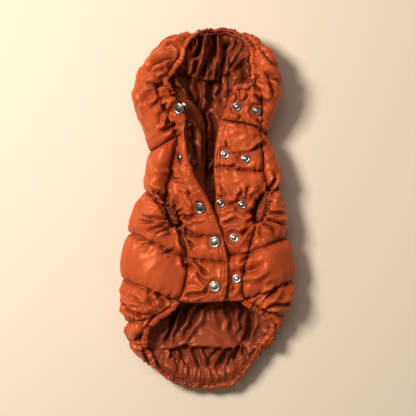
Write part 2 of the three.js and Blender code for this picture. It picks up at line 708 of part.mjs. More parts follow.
// Snaps of the left front, each with its seat
const caps = CAPS.map((plan, index) => {
  const place = placeAbove(plan, STATION.frontLeft, STATION.seamLeft);
  return snapOutside(CAP_PROFILE, place, index === 0 ? COLLAR_LEFT : CHEST_LEFT);
});
const sockets = CAPS.slice(0, RAISED_SNAPS).map((plan, index) => {
  const place = placeAbove(plan, STATION.frontLeft, STATION.seamLeft);
  return snapInside(SOCKET_PROFILE, place, index < LINED_SNAPS);
});
const studs = { inner: STUDS_INNER, outer: STUDS_OUTER };
for (const column of Object.keys(studs)) {
  studs[column] = studs[column].map((plan, index) => {
    const place = placeAbove(plan, STATION.seamRight, STATION.frontRight);
    return snapOutside(STUD_PROFILE, place, index === 0 ? COLLAR_RIGHT : CHEST_RIGHT);
  });
}
const leftSeats = [...caps, ...sockets, ...studs.inner].map((snap) => snap.seat);
const rightSeats = [...studs.inner, ...studs.outer].map((snap) => snap.seat);
const holes = Object.values(LEG_HOLES).map(legCutter);

function addCut(name, geometry, cuts, color) {
  const cut = cuts.reduce((solid, cutter) => solid.subtract(cutter), solidOf(geometry));
  addPiece(name, geometryFrom(cut), color);
}

const hemRoom = solidOf(hemBand(SEAM_GAP / 2));
addCut('back_panel', paddedPanel(BACK), [...holes, hemRoom], SHELL_COLOR);
addCut('chest_left', paddedPanel(CHEST_LEFT), [...holes, ...leftSeats], SHELL_COLOR);
addCut('chest_right', paddedPanel(CHEST_RIGHT), [...holes, ...rightSeats], SHELL_COLOR);
addCut('collar_front_left', paddedPanel(COLLAR_LEFT), leftSeats, SHELL_COLOR);
addPiece('collar_back', paddedPanel(COLLAR_BACK), SHELL_COLOR);
addCut('collar_front_right', paddedPanel(COLLAR_RIGHT), rightSeats, SHELL_COLOR);
addPiece('collar_band', collarBand(), BAND_COLOR);
addPiece('hem_band', hemBand(), BAND_COLOR);
addPiece('leg_cuff_left', legCuff(LEG_HOLES.left), BAND_COLOR);
addPiece('leg_cuff_right', legCuff(LEG_HOLES.right), BAND_COLOR);
addCut('lining_back', backLining(), holes, LINING_COLOR);
addPiece('lining_collar', collarLining(), LINING_COLOR);
addCut('lining_left', frontLining(), leftSeats, LINING_COLOR);

const snaps = { snap_cap: caps, snap_socket: sockets, stud_inner: studs.inner, stud_outer: studs.outer };
for (const [name, pieces] of Object.entries(snaps)) {
  pieces.forEach((snap, index) => {
    addPiece(`${name}_${index + 1}`, snap.geometry, METAL_COLOR, 1, 0.3);
  });
}

export default group;
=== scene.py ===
"""Looks of a padded dog coat that lies open on its back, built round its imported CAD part."""

import math
from collections import namedtuple

import bmesh
import bpy
import numpy as np
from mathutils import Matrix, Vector


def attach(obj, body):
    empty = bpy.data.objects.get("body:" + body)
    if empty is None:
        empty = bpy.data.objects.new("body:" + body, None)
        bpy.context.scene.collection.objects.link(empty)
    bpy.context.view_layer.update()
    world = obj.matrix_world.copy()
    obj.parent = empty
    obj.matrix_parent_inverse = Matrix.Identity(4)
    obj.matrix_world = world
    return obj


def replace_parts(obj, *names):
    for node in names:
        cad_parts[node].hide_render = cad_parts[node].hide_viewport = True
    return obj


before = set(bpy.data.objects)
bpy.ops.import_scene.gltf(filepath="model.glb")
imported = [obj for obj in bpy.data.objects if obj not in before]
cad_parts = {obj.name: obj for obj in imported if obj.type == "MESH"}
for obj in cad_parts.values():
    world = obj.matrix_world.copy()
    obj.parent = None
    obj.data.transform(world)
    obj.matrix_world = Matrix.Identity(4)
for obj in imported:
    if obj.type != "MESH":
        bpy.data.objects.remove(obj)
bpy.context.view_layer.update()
MM = 0.001

# Camera and photograph, in metres: straight above, with this much of the floor in the picture
CAMERA_HEIGHT = 2.2
PICTURE_WIDTH = 0.4992
SENSOR = 36.0

# Sizes of the padded shell and its linings, in millimetres, as in the part's source
WALL = 7.5
WALL_AT_ELASTIC = 4.5
WALL_AT_NECK = 5
CREST_SHARE = 0.52
QUILT = {"depth": 5.8, "reach": 17, "loft": 3.6}
SEAM = {"depth": 3.6, "reach": 8}
LINING_THICKNESS = 1.2
LINING_CLEARANCE = 0.8
LIP_TURN = 7
LIP_DROP = 9
COLLAR_LINING = {"start": 10.85, "slack": 0.7}
FRONT_LINING = {"start": 0.06, "turn": 0.3, "slack": 0.9}
COLLAR_BAND = {"reach": 3.4, "height": 2.8}
HEM_BAND = {"reach": 3.6, "height": 3.0}
LEG_HOLES = {
    "left": {"seed": 7, "at": (-41, -10, 40), "long": 17.5, "wide": 9.5, "turn": 30,
             "bunch": (-44, -6), "tilt": 30, "cut": (0.012, 0.11), "bunch_cut": (0.013, 0.042)},
    "right": {"seed": 8, "at": (62, -1, 42), "long": 21, "wide": 11, "turn": -20,
              "bunch": (66, 1), "tilt": -20, "cut": (0.013, 0.12), "bunch_cut": (0.015, 0.048)},
}
# A band's points lie this far apart along it, with this many of them round it
BAND_STEP = 0.9
BAND_SIDES = 22
# Points along each side of the tail's edge and round its rim
RIM_SIDE_POINTS = 40
RIM_ROUND_POINTS = 160
# Rows of a hanging lining, from its edge to the cloth turned under its lip
LINING_ROWS = 54
# Number of caps whose backs can show, and of those that hold the lining too
OPEN_CAPS = 3
LINED_CAPS = 2
SEAT_GAP = 0.3
SNAP_PRESS = 0.8
SIDE_PULL = 1.6
STITCH_ROWS = [3.4, 7.0]
STITCH = {"pitch": 3.6, "radius": 0.35}

# The coat is one surface over cross sections, named from the tail's rim to the collar's edge
LEVELS = ["rim", "tail", "low", "hem", "belly", "cap4", "cap3", "chest", "neck", "wide", "crest", "elastic"]
LEVEL = {name: index for index, name in enumerate(LEVELS)}
STATIONS = ["front_left", "seam_left", "crest_left", "side_left", "back_left", "spine",
            "back_right", "side_right", "crest_right", "seam_right", "front_right"]
STATION = {name: index for index, name in enumerate(STATIONS)}

# Front edges, from the belly hem up: places on the left and on the right as (x, y, z)
FRONTS = {
    "hem": ((17, -110, 52), (-4, -110, 36)),
    "belly": ((23, -65, 52), (-2, -58, 36)),
    "cap4": ((17, -36, 51), (0, -29, 37)),
    "cap3": ((0, 6, 54), (9, 6, 42)),
    "chest": ((-23, 43, 60), (7, 48, 45)),
    "neck": ((-33, 89, 62), (16, 104, 47)),
    "wide": ((-31, 114, 62), (23, 121, 50)),
    "crest": ((-37, 126, 61), (28, 133, 52)),
    "elastic": ((-43, 133, 57), (30, 139, 50)),
}

# Seams between the belly panels and the back panel, on the left and on the right
SEAMS = {
    "rim": ((-77, -172, 26), (72, -157, 24)),
    "tail": ((-77, -156, 33), (77, -143, 28)),
    "low": ((-64, -131, 41), (70, -125, 37)),
    "hem": ((-36, -110, 45), (44, -109, 45)),
    "belly": ((-25, -58, 44), (47, -52, 45)),
    "cap4": ((-32, -29, 42), (55, -24, 43)),
    "cap3": ((-50, 6, 40), (70, 20, 43)),
    "chest": ((-44, 43, 37), (67, 44, 45)),
    "neck": ((-38, 84, 41), (63, 93, 43)),
    "wide": ((-48, 114, 53), (64, 121, 50)),
    "crest": ((-59, 141, 57), (61, 137, 53)),
    "elastic": ((-50, 151, 54), (54, 145, 50)),
}

# Outermost places of both sides, with the height of the crest between seam and side
SIDES = {
    "rim": ((-65, -190, 18), (61, -175, 19), (22, 22)),
    "tail": ((-97, -160, 20), (84, -152, 18), (33, 28)),
    "low": ((-100, -136, 23), (94, -130, 22), (42, 38)),
    "hem": ((-104, -83, 25), (103, -85, 25), (49, 48)),
    "belly": ((-96, -28, 25), (97, -34, 25), (50, 49)),
    "cap4": ((-88, -2, 25), (92, -5, 25), (49, 45)),
    "cap3": ((-79, 22, 25), (88, 22, 25), (47, 41)),
    "chest": ((-75, 43, 25), (86, 48, 25), (47, 41)),
    "neck": ((-71, 66, 24), (74, 85, 22), (42, 36)),
    "wide": ((-89, 137, 27), (88, 144, 26), (52, 50)),
    "crest": ((-66, 177, 40), (73, 181, 38), (56, 54)),
    "elastic": ((-34, 182, 44), (53, 193, 40), (50, 47)),
}

# The back, which lies on the floor: left, spine and right
BACKS = {
    "rim": ((-38, -203, 14), (8, -211, 12), (38, -199, 14)),
    "tail": ((-50, -172, 0), (0, -172, 0), (46, -170, 0)),
    "low": ((-52, -136, 0), (0, -136, 0), (50, -134, 0)),
    "hem": ((-54, -86, 0), (0, -87, 0), (54, -86, 0)),
    "belly": ((-50, -32, 0), (0, -34, 0), (52, -34, 0)),
    "cap4": ((-46, -3, 0), (1, -3, 0), (48, -4, 0)),
    "cap3": ((-41, 23, 0), (2, 24, 0), (46, 22, 0)),
    "chest": ((-38, 46, 0), (2, 50, 0), (44, 49, 0)),
    "neck": ((-36, 78, 0), (0, 88, 0), (36, 86, 0)),
    "wide": ((-48, 141, 0), (0, 144, 0), (48, 144, 0)),
    "crest": ((-40, 206, 20), (2, 203, 8), (46, 207, 20)),
    "elastic": ((-20, 206, 36), (4, 211, 26), (30, 211, 30)),
}

# Lips of the linings: the collar's for each station with its bulge, and the left front's by level
COLLAR_LIP = [(-22, 127, 35, 0), (-34, 149, 34, 1), (-37, 160, 31, 2), (-28, 162, 29, 2),
              (-18, 157, 29, 6), (1, 152, 31, 8), (12, 155, 31, 7), (17, 158, 30, 3),
              (17, 142, 27, 3), (17, 127, 27, 2), (17, 116, 30, 0)]
FRONT_LIP = [(10.4, -19, 125, 33), (9.9, -14, 119, 29), (9, -6, 106, 24), (8, -4, 82, 22), (7.4, -4, 60, 23),
             (7, -4, 46, 26), (6.5, -4, 26, 32), (6.2, -1, 14, 38)]

# Snaps, as plan places
CAPS = [(-34, 116), (-33, 59), (-9, 0), (8, -40), (8, -92)]
STUDS_INNER = [(34, 119), (20, 63), (15, 6), (8, -40), (8, -92)]
STUDS_OUTER = [(57, 114), (44, 58), (40, 4), (31, -35), (34, -83)]

# Creases as they are seen from above: depth (a ridge where it is negative), width and path
Fold = namedtuple("Fold", "depth width path")
SHELL_FOLDS = [
    # left of the collar
    Fold(2.2, 3.2, [(-12, 213), (-29, 210), (-43, 204), (-57, 194), (-68, 181)]),
    Fold(1.8, 2.6, [(-19, 203), (-29, 204), (-40, 202), (-49, 197)]),
    Fold(1.8, 2.6, [(-34, 194), (-45, 195), (-55, 189)]),
    Fold(3.0, 3.4, [(-41, 180), (-54, 177), (-64, 170), (-76, 157), (-84, 143)]),
    Fold(2.0, 2.8, [(-53, 166), (-63, 163), (-72, 155), (-81, 144)]),
    Fold(2.0, 2.6, [(-50, 151), (-59, 145), (-70, 149)]),
    Fold(-2.2, 3.0, [(-45, 140), (-58, 143), (-68, 144), (-75, 138), (-77, 125), (-74, 112), (-65, 104)]),
    Fold(2.2, 3.0, [(-45, 134), (-57, 131), (-64, 123), (-68, 112)]),
    Fold(1.8, 2.4, [(-47, 128), (-52, 122), (-50, 114)]),
    Fold(-2.4, 3.0, [(-34, 105), (-48, 111), (-55, 100), (-63, 94)]),
    Fold(2.4, 3.0, [(-39, 100), (-49, 95), (-58, 89)]),
    # right of the collar
    Fold(2.0, 2.6, [(63, 190), (70, 181), (73, 176)]),
    Fold(2.0, 2.6, [(70, 179), (77, 172), (82, 161)]),
    Fold(2.6, 3.0, [(68, 163), (77, 156), (87, 144)]),
    Fold(2.2, 3.0, [(72, 157), (76, 143), (78, 127)]),
    Fold(2.8, 4.0, [(56, 136), (68, 127), (80, 123)]),
    Fold(1.5, 2.0, [(33, 139), (35, 131), (35, 126)]),
    Fold(1.5, 2.2, [(48, 136), (43, 128), (41, 123)]),
    Fold(1.5, 2.0, [(38, 117), (39, 110), (37, 103)]),
    Fold(1.7, 2.2, [(59, 108), (63, 100)]),
    # left chest, above the leg hole and beside it
    Fold(1.6, 2.0, [(-44, 38), (-36, 36), (-29, 36)]),
    Fold(2.8, 2.8, [(-49, 3), (-55, 13), (-68, 23), (-72, 30)]),
    Fold(2.4, 2.4, [(-48, 0), (-58, 5), (-70, 16), (-77, 22)]),
    Fold(3.0, 3.2, [(-48, 5), (-50, 13), (-56, 19)]),
    Fold(2.2, 2.4, [(-50, -14), (-67, -12), (-83, -7)]),
    Fold(2.4, 2.6, [(-50, -18), (-68, -17), (-86, -16)]),
    Fold(2.6, 3.0, [(-49, -21), (-62, -24), (-76, -34)]),
    Fold(1.8, 2.4, [(-45, -24), (-58, -29), (-67, -33)]),
    Fold(2.6, 2.6, [(-34, -26), (-31, -43), (-24, -55)]),
    Fold(2.0, 2.4, [(-29, -24), (-20, -31), (-9, -35)]),
    Fold(1.8, 2.4, [(-23, -40), (-15, -49)]),
    Fold(3.0, 4.2, [(-38, -7), (-24, -12), (-11, -6), (8, -12)]),
    Fold(1.8, 3.0, [(-21, 18), (-16, 5), (-11, 0)]),
    Fold(1.8, 3.4, [(-30, 30), (-22, 22), (-24, 8)]),
    # left flank
    Fold(1.9, 2.4, [(-41, -51), (-51, -54), (-57, -58)]),
    Fold(2.0, 2.4, [(-66, -41), (-75, -44), (-85, -48)]),
    Fold(1.8, 3.0, [(-71, -99), (-69, -111), (-63, -118), (-55, -122)]),
    Fold(1.7, 2.6, [(-61, -103), (-55, -109), (-46, -118)]),
    Fold(3.0, 3.2, [(-101, -115), (-93, -123), (-78, -129), (-65, -126)]),
    Fold(1.8, 2.6, [(-88, -108), (-80, -113), (-74, -120)]),
    # lower left front
    Fold(3.0, 4.0, [(-27, -58), (-29, -67), (-20, -71), (-13, -72)]),
    Fold(2.2, 2.6, [(-15, -64), (-6, -75), (2, -86)]),
    Fold(1.8, 2.4, [(-13, -77), (-7, -86), (2, -92)]),
    Fold(2.2, 3.0, [(-27, -105), (-15, -104), (-4, -101), (2, -95)]),
    Fold(1.6, 2.0, [(3, -94), (-3, -102), (-7, -108)]),
    # right chest
    Fold(-1.8, 3.0, [(65, 84), (52, 71), (46, 62)]),
    Fold(1.8, 3.0, [(60, 74), (50, 66), (52, 58)]),
    Fold(1.5, 2.2, [(22, 80), (24, 68)]),
    Fold(1.8, 2.0, [(26, 61), (32, 65), (38, 63)]),
    Fold(1.7, 2.0, [(19, 51), (24, 49), (31, 50), (37, 57)]),
    Fold(1.6, 2.4, [(14, 25), (22, 15), (27, 8)]),
    Fold(1.8, 2.2, [(37, 13), (41, 20), (39, 26)]),
    Fold(1.6, 3.0, [(50, 26), (46, 18), (48, 10)]),
    Fold(2.6, 3.0, [(8, 5), (22, 4), (37, 6), (53, 6)]),
    Fold(1.8, 3.0, [(20, -18), (34, -14), (47, -18)]),
    Fold(2.8, 3.2, [(27, -40), (38, -34), (49, -24), (54, -20)]),
    # round the right leg hole
    Fold(2.4, 2.6, [(71, 18), (77, 28), (80, 38), (77, 46)]),
    Fold(2.4, 2.6, [(73, 13), (82, 20), (87, 30)]),
    Fold(2.0, 2.4, [(75, 8), (85, 18)]),
    Fold(1.8, 2.4, [(71, -7), (82, -6), (94, -10)]),
    Fold(2.6, 2.6, [(73, -14), (83, -19), (95, -23)]),
    Fold(2.2, 2.4, [(68, -19), (77, -25), (82, -34)]),
    Fold(1.8, 2.2, [(66, -17), (70, -24), (77, -28)]),
    Fold(2.2, 2.4, [(63, -20), (63, -30), (67, -40)]),
    # lower right front and flank
    Fold(1.6, 2.6, [(50, -55), (44, -62), (36, -69)]),
    Fold(2.4, 5.0, [(38, -78), (58, -72), (72, -62)]),
    Fold(-1.8, 4.0, [(40, -86), (60, -83), (76, -72)]),
    Fold(1.9, 2.6, [(30, -89), (24, -96), (23, -103)]),
    Fold(1.6, 2.6, [(34, -89), (30, -98), (24, -106)]),
    Fold(-2.0, 3.0, [(77, -95), (67, -102), (60, -111)]),
    Fold(2.0, 2.6, [(80, -100), (71, -108), (66, -115)]),
    Fold(2.8, 3.2, [(98, -115), (84, -116), (70, -120)]),
    Fold(2.0, 2.6, [(66, -122), (76, -126), (90, -124)]),
]
BACK_LINING_FOLDS = [
    # the folded cloth inside the neck
    Fold(5, 4.0, [(-11, 150), (-8, 132), (-10, 114)]),
    Fold(5, 4.0, [(1, 148), (1, 131), (6, 118)]),
    Fold(-4, 3.2, [(-3, 152), (-3, 128)]),
    Fold(-3, 3.6, [(-3, 126), (-6, 112), (-4, 96)]),
    Fold(5, 3.2, [(-5, 114), (-5, 82), (-6, 50), (-12, 33)]),
    Fold(3, 3.6, [(4, 110), (7, 88), (4, 70)]),
    Fold(-3, 3.0, [(6, 56), (0, 44), (-2, 36)]),
    # inside the hem's mouth
    Fold(3.4, 4.0, [(-3, -106), (-13, -126), (-21, -143), (-29, -163)]),
    Fold(4.4, 3.2, [(-35, -116), (-44, -135), (-52, -157), (-55, -171)]),
    Fold(-2.6, 4.0, [(-30, -112), (-38, -133), (-44, -152)]),
    Fold(2.8, 5.0, [(20, -108), (27, -129), (31, -152)]),
    Fold(-3.0, 3.2, [(48, -122), (47, -140), (37, -163)]),
    Fold(4.4, 3.6, [(55, -128), (51, -149), (45, -161)]),
    Fold(-2.4, 3.0, [(-18, -143), (-22, -152), (-27, -161)]),
    Fold(-1.8, 5.0, [(4, -112), (6, -130), (14, -150)]),
    # cloth gathered into the tail's rim
    Fold(-3.0, 2.6, [(-21, -168), (-20, -180), (-15, -198)]),
    Fold(3.0, 2.6, [(-15, -170), (-11, -185), (-9, -198)]),
    Fold(-2.8, 2.6, [(-8, -169), (-4, -186), (-3, -197)]),
    Fold(2.6, 2.6, [(11, -171), (4, -182), (-1, -196)]),
    Fold(-2.4, 2.4, [(15, -173), (10, -185), (5, -197)]),
    Fold(2.6, 2.6, [(24, -172), (16, -186), (10, -197)]),
    Fold(-2.4, 2.4, [(30, -173), (23, -185), (21, -196)]),
    Fold(2.4, 2.4, [(36, -168), (33, -180), (31, -191)]),
    Fold(-2.2, 2.4, [(41, -164), (42, -176), (43, -186)]),
    Fold(2.4, 2.4, [(-30, -172), (-29, -184), (-27, -196)]),
    Fold(-2.4, 2.4, [(-37, -172), (-37, -182), (-38, -193)]),
    Fold(2.4, 2.4, [(-45, -172), (-45, -180), (-50, -188)]),
]
# The lining's overhanging edge in the mouth, from left to right
OVERHANG = [(-62, -171), (-45, -171), (-32, -166), (-25, -163), (-19, -166), (-4, -166), (12, -168),
            (24, -170), (36, -167), (44, -160)]
COLLAR_LINING_FOLDS = [
    Fold(4.0, 3.2, [(-9, 208), (-9, 194), (-12, 187), (-19, 181), (-22, 174)]),
    Fold(-3.4, 3.2, [(-2, 206), (-6, 190), (-9, 176), (-11, 170)]),
    Fold(4.2, 4.0, [(9, 208), (9, 196), (5, 181), (-5, 157)]),
    Fold(-3.4, 3.4, [(12, 209), (13, 194), (14, 171)]),
    Fold(3.0, 3.0, [(14, 190), (22, 195), (29, 206)]),
    Fold(2.4, 2.4, [(-21, 198), (-19, 184)]),
    Fold(2.4, 2.2, [(-16, 203), (-16, 190)]),
    Fold(1.8, 2.4, [(-49, 151), (-37, 145), (-24, 138)]),
    Fold(1.6, 2.4, [(-48, 160), (-42, 152), (-38, 142)]),
    Fold(-2.2, 3.0, [(30, 165), (34, 171), (46, 181)]),
    Fold(2.4, 4.0, [(41, 170), (43, 156), (37, 145)]),
    Fold(-2.4, 3.0, [(42, 170), (52, 171), (63, 170), (66, 163), (58, 156), (32, 143)]),
    Fold(2.0, 3.0, [(50, 176), (56, 182), (60, 188)]),
    Fold(2.0, 3.0, [(24, 160), (26, 140), (22, 124)]),
    Fold(3.0, 2.6, [(-6, 158), (-4, 170), (3, 186), (5, 200)]),
    Fold(-2.6, 2.4, [(6, 156), (9, 168), (12, 180)]),
    Fold(2.6, 2.4, [(-18, 160), (-14, 172), (-12, 180)]),
    Fold(-2.6, 2.6, [(-12, 158), (-10, 170), (-5, 184), (-4, 198)]),
    Fold(2.4, 2.4, [(16, 160), (19, 174), (20, 186)]),
]
FRONT_LINING_FOLDS = [
    Fold(2.2, 3.0, [(-30, 108), (-22, 98), (-19, 80), (-17, 62)]),
    Fold(-1.8, 3.0, [(-24, 106), (-15, 92), (-13, 70), (-12, 52)]),
    Fold(2.0, 2.6, [(-28, 84), (-20, 76), (-14, 58), (-12, 44)]),
    Fold(1.6, 2.4, [(-26, 60), (-20, 54), (-10, 44)]),
]

# Gathers by pitch, height and reach from the edge
ELASTIC_GATHERS = [(4.8, 2.0, 7), (8.6, 4.2, 18), (14, 3.4, 34)]
RIM_GATHERS = [(4.8, 2.0, 7), (8.8, 3.6, 15), (14, 2.6, 24)]
RAGGED = [1.0, 3.0, 2.6]
HOLE_GATHERS = [(4.6, 1.8, 6), (8.4, 4.0, 13), (14, 4.0, 28)]
LINING_GATHERS = [(4.4, 2.2, 9), (8.8, 5.0, 20), (15, 5.0, 36)]
QUILT_PUCKERS = [(6, 1.2, 5), (11, 3.0, 10), (21, 3.4, 20)]
SEAM_PUCKERS = [(7, 1.4, 6), (16, 2.2, 14)]
# Ridges all over the shell by size, height and direction in radians
STREAKS = [(36, 2.6, -0.5), (28, 1.6, 0.6)]
CRISP = 0.85
FOLD_STRENGTH = 2.3

# Colours, as linear red, green and blue
RUST = (0.64, 0.104, 0.030, 1)
RUST_DEEP = (0.46, 0.068, 0.018, 1)
RUST_SHEEN = (1.0, 0.34, 0.16, 1)
LINING_RUST = (0.36, 0.066, 0.026, 1)
LINING_DEEP = (0.26, 0.045, 0.017, 1)
THREAD = (0.50, 0.10, 0.035, 1)
NICKEL = (0.60, 0.57, 0.54, 1)
# A darker copy of the nickel, painted on the snaps as shade: the cap's face inside its raised rim, the socket's
# hollow and the foot of the stud's neck
SHADED_NICKEL = (0.20, 0.18, 0.15, 1)
FLOOR = (0.88, 0.755, 0.60, 1)


def smooth(value):
    """Soft step from 0 to 1."""
    share = np.clip(value, 0, 1)
    return share * share * (3 - 2 * share)


def curve(points, place):
    """Smooth curve through points (count, n or 1, 3) at one place for each of n."""
    chords = np.diff(points, axis=0)
    lengths = np.linalg.norm(chords, axis=-1, keepdims=True)
    units = chords / np.maximum(lengths, 1e-9)
    share = lengths[:-1] / (lengths[:-1] + lengths[1:])
    inner = units[:-1] + (units[1:] - units[:-1]) * share
    slopes = np.concatenate([units[:1], inner, units[-1:]])
    index = np.clip(np.floor(place).astype(int), 0, len(points) - 2)
    column = np.arange(len(place)) if points.shape[1] > 1 else 0
    t = (place - index)[:, None]
    start = points[index, column]
    end = points[index + 1, column]
    length = lengths[index, column]
    bend = (1 - t) * slopes[index, column] - t * slopes[index + 1, column]
    return start + (end - start) * t * t * (3 - 2 * t) + length * t * (1 - t) * bend


def net_row(name):
    """Places of all stations at one level."""
    seam = np.array(SEAMS[name], float)
    side = np.array(SIDES[name][:2], float)
    crest = seam + (side - seam) * CREST_SHARE
    crest[:, 2] = SIDES[name][2]
    front = np.array(FRONTS[name], float) if name in FRONTS else 2 * seam - crest
    back = np.array(BACKS[name], float)
    return np.array([front[0], seam[0], crest[0], side[0], *back, side[1], crest[1], seam[1], front[1]])


NET = np.array([net_row(name) for name in LEVELS])


def surface(station, level):
    """Points of the filled coat's outer surface, for flat arrays of stations and levels."""
    around = np.stack([curve(NET[:, index, None], level) for index in range(len(STATIONS))])
    return curve(around, station)


Skin = namedtuple("Skin", "station level point normal per_level per_station")


def skin_at(stations, levels):
    """A grid of places with what the relief needs: rows are levels and columns are stations."""
    level, station = np.meshgrid(levels, stations, indexing="ij")
    flat_s, flat_l = station.ravel(), level.ravel()
    step = 0.02
    around = surface(flat_s + step, flat_l) - surface(flat_s - step, flat_l)
    along = surface(flat_s, flat_l + step) - surface(flat_s, flat_l - step)
    normal = np.cross(along, around)
    normal /= np.maximum(np.linalg.norm(normal, axis=1, keepdims=True), 1e-9)
    shape = station.shape
    size = (2 * step)
    return Skin(station, level, surface(flat_s, flat_l).reshape(*shape, 3), normal.reshape(*shape, 3),
                (np.linalg.norm(along, axis=1) / size).reshape(shape),
                (np.linalg.norm(around, axis=1) / size).reshape(shape))


def grid_lines(low, high, spacing, length_of):
    """Values from low to high that are about one spacing apart on the coat."""
    cuts = [low, *[k for k in range(math.ceil(low + 0.01), math.floor(high - 0.01) + 1)], high]
    lines = []
    for start, end in zip(cuts, cuts[1:]):
        count = max(2, math.ceil(length_of(start, end) / spacing))
        lines.extend(np.linspace(start, end, count, endpoint=False))
    return np.array([*lines, high])


def row_length(start, end, ends):
    """Longest way round the coat between two stations, over some levels."""
    levels = np.linspace(*ends, 7)
    return max(path_length(surface(np.linspace(start, end, 9), np.full(9, level))) for level in levels)


def column_length(start, end, sides):
    """Longest way along the coat between two levels, over some stations."""
    stations = np.linspace(*sides, 9)
    return max(path_length(surface(np.full(9, s), np.linspace(start, end, 9))) for s in stations)


def path_length(points):
    return float(np.linalg.norm(np.diff(points, axis=0), axis=1).sum())


def fine_skin(sides, ends, spacing):
    stations = grid_lines(*sides, spacing, lambda a, b: row_length(a, b, ends))
    levels = grid_lines(*ends, spacing, lambda a, b: column_length(a, b, sides))
    return skin_at(stations, levels)


def pillow(distance, reach):
    inward = 1 - np.minimum(distance / reach, 1)
    return np.sqrt(np.maximum(1 - inward * inward, 0))


def waves(points, size, seed, count=9):
    """An uneven field from about -1 to 1 over plan points, with bumps of about that size."""
    rng = np.random.default_rng(seed)
    total = np.zeros(points.shape[:-1])
    for _ in range(count):
        angle, phase = rng.uniform(0, 2 * math.pi, 2)
        turn = 2 * math.pi / (size * rng.uniform(0.7, 1.6))
        total += np.sin(turn * (points[..., 0] * math.cos(angle) + points[..., 1] * math.sin(angle)) + phase)
    return total / math.sqrt(2 * count)


def streaks(points, size, lean, seed):
    """Sharp ridges in the cloth that run along one direction, with smooth cloth between them."""
    rng = np.random.default_rng(seed)
    warp = waves(points, 3 * size, seed + 7)
    total = np.zeros(points.shape[:-1])
    for _ in range(4):
        angle = lean + rng.uniform(-0.45, 0.45)
        turn = 2 * math.pi / (size * rng.uniform(0.8, 1.5))
        across = -points[..., 0] * math.sin(angle) + points[..., 1] * math.cos(angle)
        total += np.sin(turn * across + rng.uniform(0, 2 * math.pi) + 1.6 * warp)
    patches = smooth(0.5 + 0.9 * waves(points, 2.4 * size, seed + 8))
    return patches * (0.45 - np.abs(total) / 3)


def ruffle(run, pitch, seed, crisp=0.0):
    """Puffs between sharp valleys along an edge, or crisp folds, uneven in spacing and height."""
    rng = np.random.default_rng(seed)
    first, second, third = rng.uniform(0, 2 * math.pi, 3)
    turn = run / pitch
    place = turn + 0.45 * np.sin(0.83 * turn + first) + 0.25 * np.sin(2.1 * turn + second)
    strength = 0.7 + 0.3 * np.sin(0.37 * turn + third)
    puff = np.abs(np.sin(math.pi * place)) ** 0.8
    fold = 1 - np.abs(2 * (place % 1) - 1)
    return strength * (puff + crisp * (fold - puff) - 0.62)


def gathers(off, run, sizes, seed):
    """Folds that run away from an edge and merge with the distance from it."""
    total = np.zeros(np.shape(off))
    for index, (pitch, height, reach) in enumerate(sizes):
        lean = 0.25 * off * np.sin(run / (3.1 * pitch) + seed + index)
        total += height * np.exp(-(off / reach) ** 1.4) * ruffle(run + lean, pitch, seed * 17 + index, CRISP)
    return total


def nearest_on_path(points, path):
    """Distance to a path, the length along it, and the side: positive on its left in plan."""
    flat = points.reshape(-1, points.shape[-1])
    best = np.full(len(flat), np.inf)
    run = np.zeros(len(flat))
    side = np.zeros(len(flat))
    done = 0.0
    for start, end in zip(path, path[1:]):
        chord = end - start
        length = float(np.linalg.norm(chord))
        share = np.clip(((flat - start) @ chord) / max(length * length, 1e-9), 0, 1)
        away = flat - (start + share[:, None] * chord)
        distance = np.linalg.norm(away, axis=1)
        closer = distance < best
        best[closer] = distance[closer]
        run[closer] = (done + share * length)[closer]
        side[closer] = np.sign(chord[0] * away[:, 1] - chord[1] * away[:, 0])[closer]
        done += length
    shape = points.shape[:-1]
    return best.reshape(shape), run.reshape(shape), side.reshape(shape)


def seen_from_above(points):
    """Plan places on the floor behind the points, as the camera sees them."""
    height = CAMERA_HEIGHT / MM
    return points[..., :2] * (height / (height - points[..., 2:3]))


def rounded_path(path, count=8):
    """A smooth curve through plan points."""
    points = np.array(path, float)
    if len(points) < 3:
        return points
    places = np.linspace(0, len(points) - 1, (len(points) - 1) * count + 1)
    return curve(points[:, None], places)


def crease(plan, folds):
    """Height that the folds add to a surface seen from above."""
    total = np.zeros(plan.shape[:-1])
    for index, fold in enumerate(folds):
        path = rounded_path(fold.path)
        length = path_length(path)
        reach = 5 * fold.width
        low, high = path.min(axis=0) - reach, path.max(axis=0) + reach
        near = np.all((plan > low) & (plan < high), axis=-1)
        if not near.any():
            continue
        off, run, _ = nearest_on_path(plan[near], path)
        wobble = 1 + 0.25 * np.sin(run / 3.7 + index)
        width = fold.width * wobble
        share = run / length
        fade = smooth(share / 0.18 + 0.45) * smooth((1 - share) / 0.45)
        trough = np.exp(-(off / (0.6 * width)) ** 1.25)
        shoulders = 0.5 * np.exp(-((off - 1.7 * width) / (0.9 * width)) ** 2)
        total[near] += FOLD_STRENGTH * fold.depth * fade * (shoulders - trough)
    return total


def wall_at(level, station):
    to_collar = np.maximum(0, level - LEVEL["crest"])
    to_rim = np.maximum(0, 1 - level)
    beside = np.minimum(np.abs(station - STATION["seam_left"]), np.abs(station - STATION["seam_right"]))
    to_side_rim = np.where(level < LEVEL["hem"], np.maximum(0, 1 - beside / 0.6), 0)
    to_edge = np.maximum(np.maximum(to_collar, to_rim), to_side_rim)
    to_neck = np.maximum(0, 1 - np.abs(level - LEVEL["neck"]) / 0.7)
    return WALL + (WALL_AT_ELASTIC - WALL) * to_edge + (WALL_AT_NECK - WALL) * to_neck


